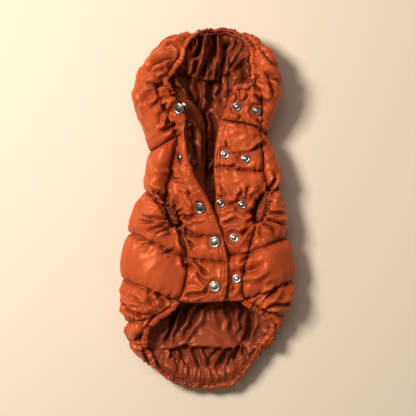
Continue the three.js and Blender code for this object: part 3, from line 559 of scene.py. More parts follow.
def material(name, colour, deep, roughness, weave, metal=False):
    """A woven satin cloth, or plain metal, as nodes over object coordinates; the cloth's colour carries painted
    shade in creases and hollows.
    """
    made = bpy.data.materials.new(name)
    made.use_nodes = True
    nodes, links = made.node_tree.nodes, made.node_tree.links
    shader = nodes["Principled BSDF"]
    place = nodes.new("ShaderNodeTexCoord").outputs["Object"]
    shader.inputs["Roughness"].default_value = roughness
    shader.inputs["Metallic"].default_value = 1.0 if metal else 0.0
    cloud = nodes.new("ShaderNodeTexNoise")
    cloud.inputs["Scale"].default_value = 34 if not metal else 900
    cloud.inputs["Detail"].default_value = 5
    links.new(place, cloud.inputs["Vector"])
    blend = nodes.new("ShaderNodeMix")
    blend.data_type = "RGBA"
    blend.inputs["A"].default_value = colour
    blend.inputs["B"].default_value = deep
    links.new(cloud.outputs["Fac"], blend.inputs["Factor"])
    if metal:
        links.new(blend.outputs["Result"], shader.inputs["Base Color"])
        return made
    # Painted shade: an ambient occlusion node darkens the cloth's base colour towards near-black rust in
    # creases, seams and hollows
    crease_shade_occlusion = nodes.new("ShaderNodeAmbientOcclusion")
    crease_shade_occlusion.inputs["Distance"].default_value = 0.011
    depth = nodes.new("ShaderNodeMath")
    depth.operation = "POWER"
    depth.inputs[1].default_value = 1.5
    links.new(crease_shade_occlusion.outputs["AO"], depth.inputs[0])
    painted_crease_shade = nodes.new("ShaderNodeMix")
    painted_crease_shade.data_type = "RGBA"
    painted_crease_shade.inputs["A"].default_value = tuple(0.28 * value for value in deep[:3]) + (1,)
    links.new(depth.outputs["Value"], painted_crease_shade.inputs["Factor"])
    links.new(blend.outputs["Result"], painted_crease_shade.inputs["B"])
    links.new(painted_crease_shade.outputs["Result"], shader.inputs["Base Color"])
    shader.inputs["Specular IOR Level"].default_value = 0.65
    shader.inputs["Specular Tint"].default_value = RUST_SHEEN
    shader.inputs["Sheen Weight"].default_value = 0.12
    shader.inputs["Sheen Roughness"].default_value = 0.4
    shader.inputs["Sheen Tint"].default_value = RUST_SHEEN
    threads = []
    for direction in ("X", "Y"):
        wave = nodes.new("ShaderNodeTexWave")
        wave.bands_direction = direction
        wave.inputs["Scale"].default_value = weave
        wave.inputs["Distortion"].default_value = 0.6
        links.new(place, wave.inputs["Vector"])
        threads.append(wave.outputs["Fac"])
    both = nodes.new("ShaderNodeMath")
    both.operation = "MULTIPLY"
    links.new(threads[0], both.inputs[0])
    links.new(threads[1], both.inputs[1])
    rumple = nodes.new("ShaderNodeTexNoise")
    rumple.inputs["Scale"].default_value = 36
    rumple.inputs["Detail"].default_value = 3
    rumple.inputs["Distortion"].default_value = 0.8
    links.new(place, rumple.inputs["Vector"])
    centred = nodes.new("ShaderNodeMath")
    centred.operation = "SUBTRACT"
    centred.inputs[1].default_value = 0.5
    links.new(rumple.outputs["Fac"], centred.inputs[0])
    ridge = nodes.new("ShaderNodeMath")
    ridge.operation = "ABSOLUTE"
    links.new(centred.outputs["Value"], ridge.inputs[0])
    fine = nodes.new("ShaderNodeBump")
    fine.inputs["Strength"].default_value = 0.10
    fine.inputs["Distance"].default_value = 0.0002
    links.new(both.outputs["Value"], fine.inputs["Height"])
    soft = nodes.new("ShaderNodeBump")
    soft.inputs["Strength"].default_value = 0.06
    soft.inputs["Distance"].default_value = 0.005
    links.new(ridge.outputs["Value"], soft.inputs["Height"])
    links.new(fine.outputs["Normal"], soft.inputs["Normal"])
    links.new(soft.outputs["Normal"], shader.inputs["Normal"])
    return made


# The cloth materials below carry painted shade in their creases and hollows from the occlusion node
SHELL = material("satin_shell", RUST, RUST_DEEP, 0.35, 620)
ELASTIC = material("satin_elastic", RUST, RUST_DEEP, 0.36, 620)
LINING = material("satin_lining", LINING_RUST, LINING_DEEP, 0.38, 700)
SEWING = material("sewing_thread", THREAD, THREAD, 0.6, 3000)
BRIGHT = material("bright_nickel", NICKEL, NICKEL, 0.24, 0, metal=True)
# The second nickel is a darker copy of the first, painted on the snaps as shade
NICKEL_SHADE = material("nickel_painted_shade", SHADED_NICKEL, SHADED_NICKEL, 0.34, 0, metal=True)


def add_object(name, points, faces, made_of, slot):
    """A smooth mesh object from points in millimetres, riding on the part."""
    used, back = np.unique(np.array([index for face in faces for index in face]), return_inverse=True)
    cuts = np.cumsum([0] + [len(face) for face in faces])
    faces = [back[a:b].tolist() for a, b in zip(cuts, cuts[1:])]
    mesh = bpy.data.meshes.new(name)
    mesh.from_pydata((np.asarray(points)[used] * MM).tolist(), [], faces)
    shell = bmesh.new()
    shell.from_mesh(mesh)
    bmesh.ops.recalc_face_normals(shell, faces=shell.faces)
    shell.to_mesh(mesh)
    shell.free()
    mesh.polygons.foreach_set("use_smooth", [True] * len(mesh.polygons))
    mesh.materials.append(made_of)
    piece = bpy.data.objects.new(name, mesh)
    bpy.context.scene.collection.objects.link(piece)
    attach(piece, "root")
    return piece


def closed_sheet(outer, inner, keep=None):
    """Points and faces of a body between two grids, with a wall round what is kept."""
    rows, columns = outer.shape[:2]
    count = rows * columns
    at = np.arange(count).reshape(rows, columns)
    keep = np.ones((rows - 1, columns - 1), bool) if keep is None else keep
    quads = np.stack([at[:-1, :-1], at[1:, :-1], at[1:, 1:], at[:-1, 1:]], axis=-1)[keep]
    faces = [*quads.tolist(), *(quads[:, ::-1] + count).tolist()]
    framed = np.pad(keep, 1)
    for row, column in zip(*np.nonzero(framed[:-1, 1:-1] != framed[1:, 1:-1])):
        a, b = at[row, column], at[row, column + 1]
        faces.append([a, b, b + count, a + count])
    for row, column in zip(*np.nonzero(framed[1:-1, :-1] != framed[1:-1, 1:])):
        a, b = at[row, column], at[row + 1, column]
        faces.append([a, b, b + count, a + count])
    return np.concatenate([outer.reshape(-1, 3), inner.reshape(-1, 3)]), faces


def place_above(plan, low, high):
    """Station and level of the front panel above a plan place, found by stepping towards it."""
    station, level = (low + high) / 2, 6.0
    step = 0.01
    for _ in range(40):
        here, by_station, by_level = surface(np.array([station, station + step, station]),
                                             np.array([level, level, level + step]))
        a = (by_station - here) / step
        b = (by_level - here) / step
        area = a[0] * b[1] - a[1] * b[0]
        dx, dy = plan[0] - here[0], plan[1] - here[1]
        station = float(np.clip(station + 0.7 * (dx * b[1] - dy * b[0]) / area, low, high))
        level = float(np.clip(level + 0.7 * (dy * a[0] - dx * a[1]) / area, 3, 11))
    return station, level


def sink_at(skin, panel):
    """How far the cloth lies below the filled surface at quilt lines and panel seams."""
    far = np.full(skin.station.shape, 1e3)
    quilts = [np.abs(skin.level - line) * skin.per_level for line in panel["quilts"]]
    seams = [np.abs(skin.level - line) * skin.per_level for line in panel["ends"]]
    seams += [np.abs(skin.station - line) * skin.per_station for line in panel["sides"]]
    quilt = pillow(np.minimum.reduce([far, *quilts]), QUILT["reach"])
    seam = pillow(np.minimum.reduce([far, *seams]), SEAM["reach"])
    return QUILT["depth"] * (1 - quilt) + SEAM["depth"] * (1 - seam) * quilt


def rim_path():
    """Edge of the tail's hem: down the left seam, round the rim and up the right seam."""
    down = np.linspace(LEVEL["hem"], 0, RIM_SIDE_POINTS)
    round_rim = np.linspace(STATION["seam_left"], STATION["seam_right"], RIM_ROUND_POINTS)[1:-1]
    left = np.full(RIM_SIDE_POINTS, STATION["seam_left"])
    right = np.full(RIM_SIDE_POINTS, STATION["seam_right"])
    stations = np.concatenate([left, round_rim, right])
    levels = np.concatenate([down, np.zeros(len(round_rim)), down[::-1]])
    return surface(stations, levels)


def collar_path():
    stations = np.linspace(STATION["front_left"], STATION["front_right"], 200)
    return surface(stations, np.full(200, float(LEVEL["elastic"])))


RIM = rim_path()
COLLAR_EDGE = collar_path()


def hole_place(hole, plan):
    """Distance from a leg hole's edge and length round it, in plan."""
    turn = math.radians(hole["turn"])
    away = plan - np.array(hole["at"][:2])
    x = away[..., 0] * math.cos(turn) + away[..., 1] * math.sin(turn)
    y = -away[..., 0] * math.sin(turn) + away[..., 1] * math.cos(turn)
    scaled = np.hypot(x / hole["wide"], y / hole["long"])
    mean = (hole["wide"] + hole["long"]) / 2
    reach = np.where(scaled > 1e-6, np.hypot(x, y) * (1 - 1 / np.maximum(scaled, 1e-6)), -mean)
    run = np.arctan2(y / hole["long"], x / hole["wide"]) * mean
    return reach + ragged(run, hole), run


def ragged(run, hole):
    """How far the cloth at a leg hole is drawn in and out by its elastic."""
    return sum(share * ruffle(run, pitch, hole["seed"] * 17 + index, CRISP)
               for index, (share, (pitch, _, _)) in enumerate(zip(RAGGED, HOLE_GATHERS)))


def snap_dents(plan, height, pressed, snaps):
    """Presses the cloth to a snap's seat and puckers it round it."""
    for index, snap in enumerate(snaps):
        away = plan - np.array(snap)
        distance = np.hypot(away[..., 0], away[..., 1])
        angle = np.arctan2(away[..., 1], away[..., 0])
        seat = 1 - smooth((distance - 6.5) / 5)
        rays = np.exp(-((distance - 10) / 4.5) ** 2) * (np.abs(np.sin(2.5 * angle + index)) - 0.55)
        height = height * (1 - seat) + pressed * seat + 1.3 * rays * (1 - seat)
    return height


def relief(skin, panel, seed):
    """Height of the cloth over the filled surface."""
    sink = sink_at(skin, panel)
    plan = seen_from_above(skin.point)
    facing = smooth(skin.normal[..., 2] * 2.5 + 0.35)
    upper = smooth(skin.normal[..., 2] * 1.6 + 0.05)
    flat = [np.abs(skin.level - line) * skin.per_level for line in [*panel["quilts"], *panel["ends"]]]
    flat += [np.abs(skin.station - line) * skin.per_station for line in panel["sides"]]
    loft = QUILT["loft"] * np.clip(skin.level / 2.5, 0.35, 1)
    height = loft * pillow(np.minimum.reduce(flat), QUILT["reach"]) * upper - sink
    run = np.cumsum(skin.per_station * np.gradient(skin.station, axis=1), axis=1)
    for index, line in enumerate([*panel["quilts"], *panel["ends"]]):
        off = np.abs(skin.level - line) * skin.per_level
        sizes = QUILT_PUCKERS if line in panel["quilts"] else SEAM_PUCKERS
        above = gathers(off, run, sizes, seed + index)
        below = gathers(off, run + 4, sizes, seed + index + 50)
        height = height + np.where(skin.level > line, above, below)
    along = np.cumsum(skin.per_level * np.gradient(skin.level, axis=0), axis=0)
    for index, line in enumerate(panel["sides"]):
        off = np.abs(skin.station - line) * skin.per_station
        height = height + gathers(off, along, SEAM_PUCKERS, seed + 90 + index)
    off, run, _ = nearest_on_path(skin.point, COLLAR_EDGE[::2])
    height = height + gathers(off, run, ELASTIC_GATHERS, 3) * (0.3 + 0.7 * facing)
    off, run, _ = nearest_on_path(skin.point, RIM[::2])
    height = height + gathers(off, run, RIM_GATHERS, 5) * (0.3 + 0.7 * facing)
    for hole in LEG_HOLES.values():
        off, run = hole_place(hole, skin.point[..., :2])
        ring = gathers(np.maximum(off, 0), run, HOLE_GATHERS, hole["seed"])
        height = height + ring * facing - 4.0 * np.exp(-(np.maximum(off, 0) / 8) ** 2) * facing
    height = height + crease(plan, SHELL_FOLDS) * facing
    leaning = skin.point[..., :2] + 0.7 * skin.point[..., 2:3]
    rough = sum(depth * streaks(leaning, size, lean, seed + index)
                for index, (size, depth, lean) in enumerate(STREAKS))
    height = height + rough * upper - SIDE_PULL * np.exp(-(skin.normal[..., 2] / 0.5) ** 2)
    return snap_dents(skin.point[..., :2], height, -sink * SNAP_PRESS, panel["snaps"])


def front_stitching(skin, panel, height):
    """Presses the two rows of stitches in beside a front edge."""
    if panel["front"] is None:
        return height
    off = np.abs(skin.station - panel["front"]) * skin.per_station
    rows = sum(1.6 * np.exp(-((off - away) / 0.9) ** 2) for away in STITCH_ROWS)
    return height - rows


BACK_SIDES = (STATION["seam_left"], STATION["seam_right"])
LEFT_SIDES = (STATION["front_left"], STATION["seam_left"])
RIGHT_SIDES = (STATION["seam_right"], STATION["front_right"])
BODY_ENDS = (LEVEL["hem"], LEVEL["neck"])
COLLAR_ENDS = (LEVEL["neck"], LEVEL["elastic"])
PANELS = {
    "back_panel": {"sides": BACK_SIDES, "ends": (LEVEL["rim"], LEVEL["neck"]), "quilts": [1, 2, 3, 4, 6],
                   "snaps": [], "front": None},
    "chest_left": {"sides": LEFT_SIDES, "ends": BODY_ENDS, "quilts": [4, 5],
                   "snaps": CAPS[1:], "front": STATION["front_left"]},
    "chest_right": {"sides": RIGHT_SIDES, "ends": BODY_ENDS, "quilts": [4, 7],
                    "snaps": STUDS_INNER[1:] + STUDS_OUTER[1:], "front": STATION["front_right"]},
    "collar_front_left": {"sides": LEFT_SIDES, "ends": COLLAR_ENDS, "quilts": [],
                          "snaps": CAPS[:1], "front": STATION["front_left"]},
    "collar_back": {"sides": BACK_SIDES, "ends": COLLAR_ENDS, "quilts": [], "snaps": [], "front": None},
    "collar_front_right": {"sides": RIGHT_SIDES, "ends": COLLAR_ENDS, "quilts": [],
                           "snaps": STUDS_INNER[:1] + STUDS_OUTER[:1], "front": STATION["front_right"]},
}
PANEL_SPACING = {"back_panel": 1.7, "collar_back": 1.3}
FRONT_SPACING = 1.0


def sewn_rows(name, panel, skin, outer):
    """Rows of stitches beside a front edge and along the quilt lines of a chest panel."""
    paths = []
    if panel["front"] is not None:
        off = np.abs(skin.station - panel["front"]) * skin.per_station
        for away in STITCH_ROWS:
            column = np.argmin(np.abs(off - away), axis=1)
            near = outer[np.arange(len(column)), column]
            paths.append(near)
        rows = [np.argmin(np.abs(skin.level[:, 0] - line)) for line in panel["quilts"]]
        paths += [outer[row] for row in rows]
    if not paths:
        return
    points, faces = [], []
    for path in paths:
        ends, _ = even_path(path, STITCH["pitch"] / 2)
        for start, end in zip(ends[:-1:2], ends[1::2]):
            first = len(points)
            middle = (start + end) / 2
            ahead = (end - start) / max(np.linalg.norm(end - start), 1e-9)
            beside = np.cross(ahead, (0, 0, 1.0)) * STITCH["radius"]
            above = np.array([0, 0, STITCH["radius"]])
            points += [start, end, middle + beside, middle + above, middle - beside, middle - above]
            for a, b in ((2, 3), (3, 4), (4, 5), (5, 2)):
                faces += [[first, first + a, first + b], [first + 1, first + b, first + a]]
    add_object("stitches_" + name, np.array(points), faces, SEWING, "shell")


def padded_panel(name, seed):
    """One filled panel of the shell, closed, with its leg holes left out."""
    panel = PANELS[name]
    skin = fine_skin(panel["sides"], panel["ends"], PANEL_SPACING.get(name, FRONT_SPACING))
    height = front_stitching(skin, panel, relief(skin, panel, seed))
    wall = wall_at(skin.level, skin.station)
    if panel["front"] is not None:
        lined = np.abs(skin.station - panel["front"]) * skin.per_station < 16
        height = np.where(lined, np.maximum(height, 1.5 - wall), height)
    outer = skin.point + skin.normal * height[..., None]
    inner = skin.point - skin.normal * np.maximum(wall, 1.5 - height)[..., None]
    keep = np.ones((skin.station.shape[0] - 1, skin.station.shape[1] - 1), bool)
    for hole in LEG_HOLES.values():
        off, _ = hole_place(hole, skin.point[..., :2])
        inside = (off < 0) & (skin.point[..., 2] > 30)
        keep &= ~(inside[:-1, :-1] & inside[1:, :-1] & inside[1:, 1:] & inside[:-1, 1:])
    outer[..., 2] = np.maximum(outer[..., 2], 0)
    inner[..., 2] = np.maximum(inner[..., 2], 0.5)
    points, faces = closed_sheet(outer, inner, keep)
    piece = add_object("look_" + name, points, faces, SHELL, "shell")
    piece.data.materials.append(LINING)
    filled = int(keep.sum())
    insides = np.zeros(len(faces), int)
    insides[filled:2 * filled] = 1
    piece.data.polygons.foreach_set("material_index", insides)
    sewn_rows(name, panel, skin, outer)
    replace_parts(piece, name)
    return piece


def even_path(path, spacing):
    lengths = np.concatenate([[0], np.cumsum(np.linalg.norm(np.diff(path, axis=0), axis=1))])
    count = int(lengths[-1] / spacing)
    goals = np.linspace(0, lengths[-1], count)
    return np.stack([np.interp(goals, lengths, path[:, axis]) for axis in range(3)], axis=1), goals


def edge_places(stations, levels):
    """Normal of the coat's surface at places along an edge, taken a little inside the coat's edges."""
    inside_s = np.clip(stations, np.where(levels < 3, 1.3, 0.3), np.where(levels < 3, 8.7, 9.7))
    inside_l = np.clip(levels, 0.3, 10.7)
    step = 0.02
    around = surface(inside_s + step, inside_l) - surface(inside_s - step, inside_l)
    along = surface(inside_s, inside_l + step) - surface(inside_s, inside_l - step)
    normal = np.cross(along, around)
    return normal / np.linalg.norm(normal, axis=1, keepdims=True)


def gathered_band(name, stations, levels, band, side, sizes, seed):
    """An elastic casing, drawn up into small uneven ruffles along an edge."""
    path = surface(stations, levels)
    normals = edge_places(stations, levels)
    lengths = np.concatenate([[0], np.cumsum(np.linalg.norm(np.diff(path, axis=0), axis=1))])
    run = np.linspace(0, lengths[-1], int(lengths[-1] / BAND_STEP))
    take = lambda table: np.stack([np.interp(run, lengths, table[:, axis]) for axis in range(3)], axis=1)
    point, normal = take(path), take(normals)
    normal /= np.linalg.norm(normal, axis=1, keepdims=True)
    ahead = np.gradient(point, axis=0)
    out = side * np.cross(normal, ahead)
    out /= np.linalg.norm(out, axis=1, keepdims=True)
    sway = 1.9 * np.sin(run / 9.3 + seed) + 0.9 * np.sin(run / 3.7 + 2 * seed)
    lift = 1.0 * np.sin(run / 5.7 + 3 * seed) + 0.8 * np.sin(run / 2.6 + seed)
    inward = WALL_AT_ELASTIC / 2 - 0.8 * lift
    outward = band["reach"] - 0.6 + 0.8 * sway
    centre = point - normal * inward[:, None] + out * outward[:, None]
    angles = np.linspace(0, 2 * math.pi, BAND_SIDES, endpoint=False)
    rows = []
    for angle in angles:
        twist = 1.6 * math.sin(angle) + 0.9 * math.cos(2 * angle)
        folds = [ruffle(run + (index + 1) * twist, pitch, seed * 17 + index)
                 for index, (pitch, _, _) in enumerate(sizes)]
        dents = 0.5 * np.sin(run * 2.1 + 3 * angle) * np.sin(run * 0.9 - 2 * angle)
        swell = 0.8 + 0.8 * folds[0] + 0.7 * folds[1] + 0.1 * dents
        spread = 1.05 + 0.35 * folds[0] + 0.3 * folds[1] + 0.4 * folds[2]
        reach = band["reach"] * spread * math.cos(angle)
        height = band["height"] * swell * math.sin(angle)
        row = centre + out * reach[:, None] + normal * height[:, None]
        row[:, 2] = np.maximum(row[:, 2], 0.1)
        rows.append(row)
    points = np.array(rows).reshape(-1, 3)
    count = len(run)
    faces = []
    for index in range(len(angles)):
        here, after = index * count, ((index + 1) % len(angles)) * count
        faces += [[here + k, here + k + 1, after + k + 1, after + k] for k in range(count - 1)]
    for end in (0, count - 1):
        faces.append([index * count + end for index in range(len(angles))])
    piece = add_object("look_" + name, points, faces, ELASTIC, "elastic")
    piece.data.materials.append(LINING)
    lined = [int(math.sin(angle - 0.9) < -0.2) for angle in angles for _ in range(count - 1)] + [0, 0]
    piece.data.polygons.foreach_set("material_index", lined)
    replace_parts(piece, name)
    return piece


def collar_band():
    stations = np.linspace(STATION["front_left"], STATION["front_right"], 400)
    levels = np.full(400, float(LEVEL["elastic"]))
    gathered_band("collar_band", stations, levels, COLLAR_BAND, -1, ELASTIC_GATHERS, 3)


def hem_band():
    down = np.linspace(LEVEL["hem"], 0, 120)
    across = np.linspace(STATION["seam_left"], STATION["seam_right"], 400)
    stations = np.concatenate([np.full(119, 1.0), across, np.full(119, 9.0)])
    levels = np.concatenate([down[:-1], np.zeros(400), down[::-1][1:]])
    gathered_band("hem_band", stations, levels, HEM_BAND, 1, RIM_GATHERS, 5)


def leg_cuff(side):
    """The gathered ring of a leg hole, with lining bunched up on its outer side."""
    hole = LEG_HOLES[side]
    turn = math.radians(hole["turn"])
    around = np.linspace(-math.pi, math.pi, 220, endpoint=False)
    mean = (hole["wide"] + hole["long"]) / 2
    run = around * mean
    profile = [(2.6, -6.6), (1.6, -4.0), (0.2, -2.6), (-1.4, -2.8), (-2.6, -4.4), (-3.2, -7.0), (-2.4, -9.2),
               (-0.6, -9.8), (1.5, -8.8)]
    rows = []
    for index, (reach, up) in enumerate(profile):
        twist = 0.8 * math.sin(index)
        swell = ragged(run + twist, hole)
        x = (hole["wide"] + reach - swell) * np.cos(around)
        y = (hole["long"] + reach - swell) * np.sin(around)
        z = up + swell * (0.9 if up > -4 else 0.3)
        rows.append(np.stack([x * math.cos(turn) - y * math.sin(turn) + hole["at"][0],
                              x * math.sin(turn) + y * math.cos(turn) + hole["at"][1],
                              z + hole["at"][2]], axis=1))
    count = len(around)
    faces = []
    for index in range(len(profile)):
        here, after = index * count, ((index + 1) % len(profile)) * count
        faces += [[here + k, here + (k + 1) % count, after + (k + 1) % count, after + k]
                  for k in range(count)]
    piece = add_object("look_leg_cuff_" + side, np.concatenate(rows), faces, ELASTIC, "elastic")
    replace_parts(piece, "leg_cuff_" + side)
    bunch_lining(side, hole)


def bunch_lining(side, hole):
    """Lining drawn up in the leg hole, which leaves a dark slit beside it."""
    turn = math.radians(hole["tilt"])
    across, along = np.meshgrid(np.linspace(-1, 1, 36), np.linspace(-1, 1, 64))
    x = across * 0.60 * hole["wide"] * np.sqrt(np.maximum(1 - 0.75 * along ** 2, 0.05))
    y = along * 0.86 * hole["long"]
    far = np.hypot(across, along)
    crumple = 1.5 * ruffle(y + 2.5 * np.sin(x / 2), 7.0, 41) + 2.4 * ruffle(x + 0.25 * y, 6.0, 42)
    z = hole["at"][2] - 2.5 + 1.3 * crumple - 3.0 * far ** 2
    top = np.stack([x * math.cos(turn) - y * math.sin(turn) + hole["bunch"][0],
                    x * math.sin(turn) + y * math.cos(turn) + hole["bunch"][1], z], axis=-1)
    under = top - np.array([0, 0, 0.8])
    piece = add_object("bunched_lining_" + side, *closed_sheet(top, under), LINING, "lining")


def lining_depth(level, station, band):
    below_band = WALL_AT_ELASTIC / 2 + band["height"] + 0.9 + LINING_CLEARANCE
    return np.maximum(wall_at(level, station) + LINING_CLEARANCE, below_band)


def overhang(plan):
    """The lining lies over itself in the mouth: raised above the line and low below it."""
    off, run, side = nearest_on_path(plan, rounded_path(OVERHANG))
    length = path_length(rounded_path(OVERHANG))
    middle = smooth(run / 14) * smooth((length - run) / 14)
    signed = off * side
    raised = 9 * smooth(signed / 1.4 + 0.5) * np.exp(-np.maximum(signed, 0) / 26)
    return (raised - 1.2 * np.exp(-((signed + 3) / 2.5) ** 2)) * middle


def back_lining():
    edge = 0.14
    sides = (STATION["seam_left"] + edge, STATION["seam_right"] - edge)
    skin = fine_skin(sides, (0.0, 9.5), 2.0)
    plan = seen_from_above(skin.point)
    inside = smooth(-skin.normal[..., 2] * 2.5 + 0.35)
    off, run, _ = nearest_on_path(skin.point, RIM[::2])
    height = gathers(off, run, LINING_GATHERS, 9) * np.exp(-off / 60) + 3.6
    height = height + (1.2 * crease(plan, BACK_LINING_FOLDS) + overhang(plan)) * inside
    height = height + 0.8 * waves(plan, 26, 61) + 0.3 * waves(plan, 9, 62)
    height = np.maximum(height, 0.1)
    depth = lining_depth(skin.level, skin.station, HEM_BAND) - 0.6
    height = height * smooth(off / 5)
    depth = depth * (1 - 0.5 * np.exp(-(off / 3.5) ** 2))
    top = skin.point - skin.normal * (depth + height + LINING_THICKNESS)[..., None]
    under = skin.point - skin.normal * (depth + height)[..., None]
    keep = np.ones((skin.station.shape[0] - 1, skin.station.shape[1] - 1), bool)
    for hole in LEG_HOLES.values():
        away, _ = hole_place(hole, skin.point[..., :2])
        keep &= ~((away < 0) & (skin.point[..., 2] > 30))[:-1, :-1]
    piece = add_object("look_lining_back", *closed_sheet(top, under, keep), LINING, "lining")
    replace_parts(piece, "lining_back")


def lip_lining(name, edge, centre, lip, folds, sizes, seed):
    """A lining that hangs from an edge, passes a middle place, comes to a lip and turns under."""
    back = edge - lip
    back[:, 2] = 0
    back *= LIP_TURN / np.linalg.norm(back, axis=1, keepdims=True)
    under = lip + back
    under[:, 2] -= LIP_DROP
    rows = np.stack([edge, centre, lip, under])
    places = np.linspace(0, 3, LINING_ROWS)
    middle = np.stack([curve(rows, np.full(len(edge), place)) for place in places], axis=1)
    along = np.gradient(middle, axis=0)
    across = np.gradient(middle, axis=1)
    normal = np.cross(along, across)
    normal /= np.maximum(np.linalg.norm(normal, axis=-1, keepdims=True), 1e-9)
    normal *= np.sign(normal[..., 2:3] + 1e-6)
    plan = seen_from_above(middle)
    up = smooth(normal[..., 2] * 2.5 + 0.2)
    lip_fade = 1 - smooth((places - 2.3) / 0.6)
    run = np.concatenate([[0], np.cumsum(np.linalg.norm(np.diff(edge, axis=0), axis=1))])[:, None]
    off = np.linalg.norm(middle - edge[:, None], axis=-1)
    height = gathers(off, run + np.zeros_like(off), sizes, seed) * smooth(off / 6)
    height = height + 1.4 * crease(plan, folds) * up * lip_fade
    height = height + 0.5 * waves(plan, 22, seed) + 0.2 * waves(plan, 8, seed + 1)
    top = middle + normal * height[..., None]
    bottom = top - normal * LINING_THICKNESS * 0.6
    piece = add_object("look_" + name, *closed_sheet(top, bottom), LINING, "lining")
    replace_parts(piece, name)


def inside_at(station, level, slack):
    skin_s, skin_l = np.asarray(station, float), np.asarray(level, float)
    depth = lining_depth(skin_l, skin_s, COLLAR_BAND) + slack
    step = 0.02
    around = surface(skin_s + step, skin_l) - surface(skin_s - step, skin_l)
    along = surface(skin_s, skin_l + step) - surface(skin_s, skin_l - step)
    normal = np.cross(along, around)
    normal /= np.linalg.norm(normal, axis=1, keepdims=True)
    return surface(skin_s, skin_l) - normal * depth[:, None]


def collar_lining():
    stations = np.linspace(0.08, STATION["front_right"], 230)
    lips = curve(np.array(COLLAR_LIP, float)[:, None, :3], stations)
    bulge = np.interp(stations, range(len(COLLAR_LIP)), [row[3] for row in COLLAR_LIP])
    edge = inside_at(stations, np.full(230, COLLAR_LINING["start"]), COLLAR_LINING["slack"])
    centre = (edge + lips) / 2
    centre[:, 2] += bulge
    lip_lining("lining_collar", edge, centre, lips, COLLAR_LINING_FOLDS, LINING_GATHERS, 12)


def front_lining():
    table = np.array(FRONT_LIP, float)
    places = np.linspace(0, len(table) - 1, 120)
    lips = curve(table[:, None, 1:], places)
    levels = np.interp(places, range(len(table)), table[:, 0])
    slack = FRONT_LINING["slack"]
    edge = inside_at(np.full(120, FRONT_LINING["start"]), levels, slack)
    centre = inside_at(np.full(120, FRONT_LINING["turn"]), levels, slack)
    lip_lining("lining_left", edge, centre, lips, FRONT_LINING_FOLDS, SEAM_PUCKERS, 13)


def turned(name, profile, point, normal, made_of, slot, painted_shade_ring):
    """A round piece from a profile of (radius, height), with a darker copy of its nickel painted as shade
    inside a radius band.
    """
    segments = 40
    angles = np.linspace(0, 2 * math.pi, segments, endpoint=False)
    turn = Vector((0, 0, 1)).rotation_difference(Vector(normal)).to_matrix()
    matrix = np.array(turn)
    points = []
    for radius, height in profile:
        ring = np.stack([radius * np.cos(angles), radius * np.sin(angles), np.full(segments, height)], axis=1)
        points.append(ring @ matrix.T + np.array(point))
    faces = []
    for index in range(len(profile) - 1):
        here, after = index * segments, (index + 1) * segments
        faces += [[here + k, here + (k + 1) % segments, after + (k + 1) % segments, after + k]
                  for k in range(segments)]
    faces.append(list(range(segments)))
    faces.append([(len(profile) - 1) * segments + k for k in range(segments)])
    piece = add_object(name, np.concatenate(points), faces, made_of, slot)
    piece.data.materials.append(NICKEL_SHADE)
    # Painted shade: faces inside the radius band get the darker copy of the nickel
    middle = np.array(point)
    for polygon in piece.data.polygons:
        centre = np.array(polygon.center) / MM - middle
        flat = centre - np.dot(centre, normal) * np.array(normal)
        polygon.material_index = int(painted_shade_ring[0] < np.linalg.norm(flat) < painted_shade_ring[1])
    return piece


CAP_PROFILE = [(5.6, 0.0), (6.2, 0.2), (6.35, 0.8), (6.1, 1.5), (5.5, 1.8), (4.9, 1.6), (4.6, 1.15),
               (4.2, 1.05), (3.4, 1.25), (2.0, 1.5), (0.4, 1.6)]
STUD_PROFILE = [(4.4, 0.0), (4.9, 0.25), (4.9, 0.9), (4.5, 1.3), (4.0, 1.35), (3.4, 1.0), (2.9, 0.75),
                (2.3, 0.8), (2.0, 1.3), (2.1, 2.1), (2.35, 2.6), (2.2, 3.1), (1.6, 3.5), (0.7, 3.7),
                (0.1, 3.7)]
SOCKET_PROFILE = [(4.8, 0.0), (5.2, 0.3), (5.1, 1.2), (4.6, 1.9), (3.9, 2.0), (3.3, 1.6), (2.7, 0.9),
                  (1.4, 0.7), (0.2, 0.7)]


def snap_seat(plan, low, high, panel):
    station, level = place_above(plan, low, high)
    skin = skin_at(np.array([station]), np.array([level]))
    normal = skin.normal[0, 0]
    sink = min(float(sink_at(skin, PANELS[panel])[0, 0]), WALL - 2)
    return skin.point[0, 0], normal, sink


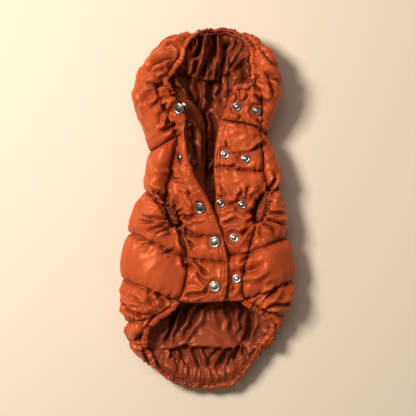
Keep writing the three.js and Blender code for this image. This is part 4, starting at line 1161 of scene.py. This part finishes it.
def snaps():
    """Caps, the backs of the open ones, and studs, each in place of its solid."""
    # The last pair in each turned() call is the band painted with darker nickel as shade: the cap's face, the
    # socket's hollow, the foot of the stud's neck
    for index, plan in enumerate(CAPS):
        panel = "collar_front_left" if index == 0 else "chest_left"
        point, normal, sink = snap_seat(plan, *LEFT_SIDES, panel)
        place = point - normal * (sink * SNAP_PRESS - SEAT_GAP)
        node = f"snap_cap_{index + 1}"
        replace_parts(turned("look_" + node, CAP_PROFILE, place, normal, BRIGHT, "cap", (-1, 4.7)), node)
        if index < OPEN_CAPS:
            depth = WALL + (LINING_CLEARANCE + LINING_THICKNESS if index < LINED_CAPS else 0)
            node = f"snap_socket_{index + 1}"
            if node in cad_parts:
                place = point - normal * (depth + SEAT_GAP)
                back = turned("look_" + node, SOCKET_PROFILE, place, -normal, BRIGHT, "snap", (-1, 3.3))
                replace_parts(back, node)
    for column, places in (("stud_inner", STUDS_INNER), ("stud_outer", STUDS_OUTER)):
        for index, plan in enumerate(places):
            panel = "collar_front_right" if index == 0 else "chest_right"
            point, normal, sink = snap_seat(plan, *RIGHT_SIDES, panel)
            place = point - normal * (sink * SNAP_PRESS - SEAT_GAP)
            node = f"{column}_{index + 1}"
            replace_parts(turned("look_" + node, STUD_PROFILE, place, normal, BRIGHT, "snap", (2.3, 3.1)), node)


def area_light(name, place, aim, size, power, colour):
    light = bpy.data.lights.new(name, "AREA")
    light.size = size
    light.energy = power
    light.color = colour
    lamp = bpy.data.objects.new(name, light)
    lamp.location = place
    lamp.rotation_euler = (Vector(aim) - Vector(place)).to_track_quat("-Z", "Y").to_euler()
    bpy.context.scene.collection.objects.link(lamp)


def studio():
    """Camera straight above, a plain pale floor and soft light from the upper left."""
    camera = bpy.data.cameras.new("camera")
    camera.sensor_width = SENSOR
    camera.lens = SENSOR * CAMERA_HEIGHT / PICTURE_WIDTH
    eye = bpy.data.objects.new("camera", camera)
    eye.location = (0, 0, CAMERA_HEIGHT)
    bpy.context.scene.collection.objects.link(eye)
    bpy.context.scene.camera = eye
    bpy.ops.mesh.primitive_plane_add(size=8, location=(0, 0, -0.0004))
    floor = bpy.context.object
    floor.name = "floor"
    paint = bpy.data.materials.new("pale_floor")
    paint.use_nodes = True
    paint.node_tree.nodes["Principled BSDF"].inputs["Base Color"].default_value = FLOOR
    paint.node_tree.nodes["Principled BSDF"].inputs["Roughness"].default_value = 0.7
    floor.data.materials.append(paint)
    area_light("key", (-0.95, 0.55, 1.4), (0, 0, 0), 0.5, 34, (1.0, 0.95, 0.88))
    area_light("fill", (1.4, -0.5, 1.8), (0, 0, 0), 1.6, 1.2, (1.0, 0.93, 0.86))
    area_light("top", (-0.2, 1.0, 2.0), (0, 0, 0), 1.0, 4.0, (1.0, 0.96, 0.92))
    world = bpy.context.scene.world or bpy.data.worlds.new("world")
    bpy.context.scene.world = world
    world.use_nodes = True
    world.node_tree.nodes["Background"].inputs["Color"].default_value = (1.0, 0.94, 0.87, 1)
    world.node_tree.nodes["Background"].inputs["Strength"].default_value = 0.12
    bpy.context.scene.view_settings.view_transform = "Standard"


studio()
for number, panel_name in enumerate(PANELS):
    padded_panel(panel_name, 100 * (number + 1))
collar_band()
hem_band()
leg_cuff("left")
leg_cuff("right")
back_lining()
collar_lining()
front_lining()
snaps()
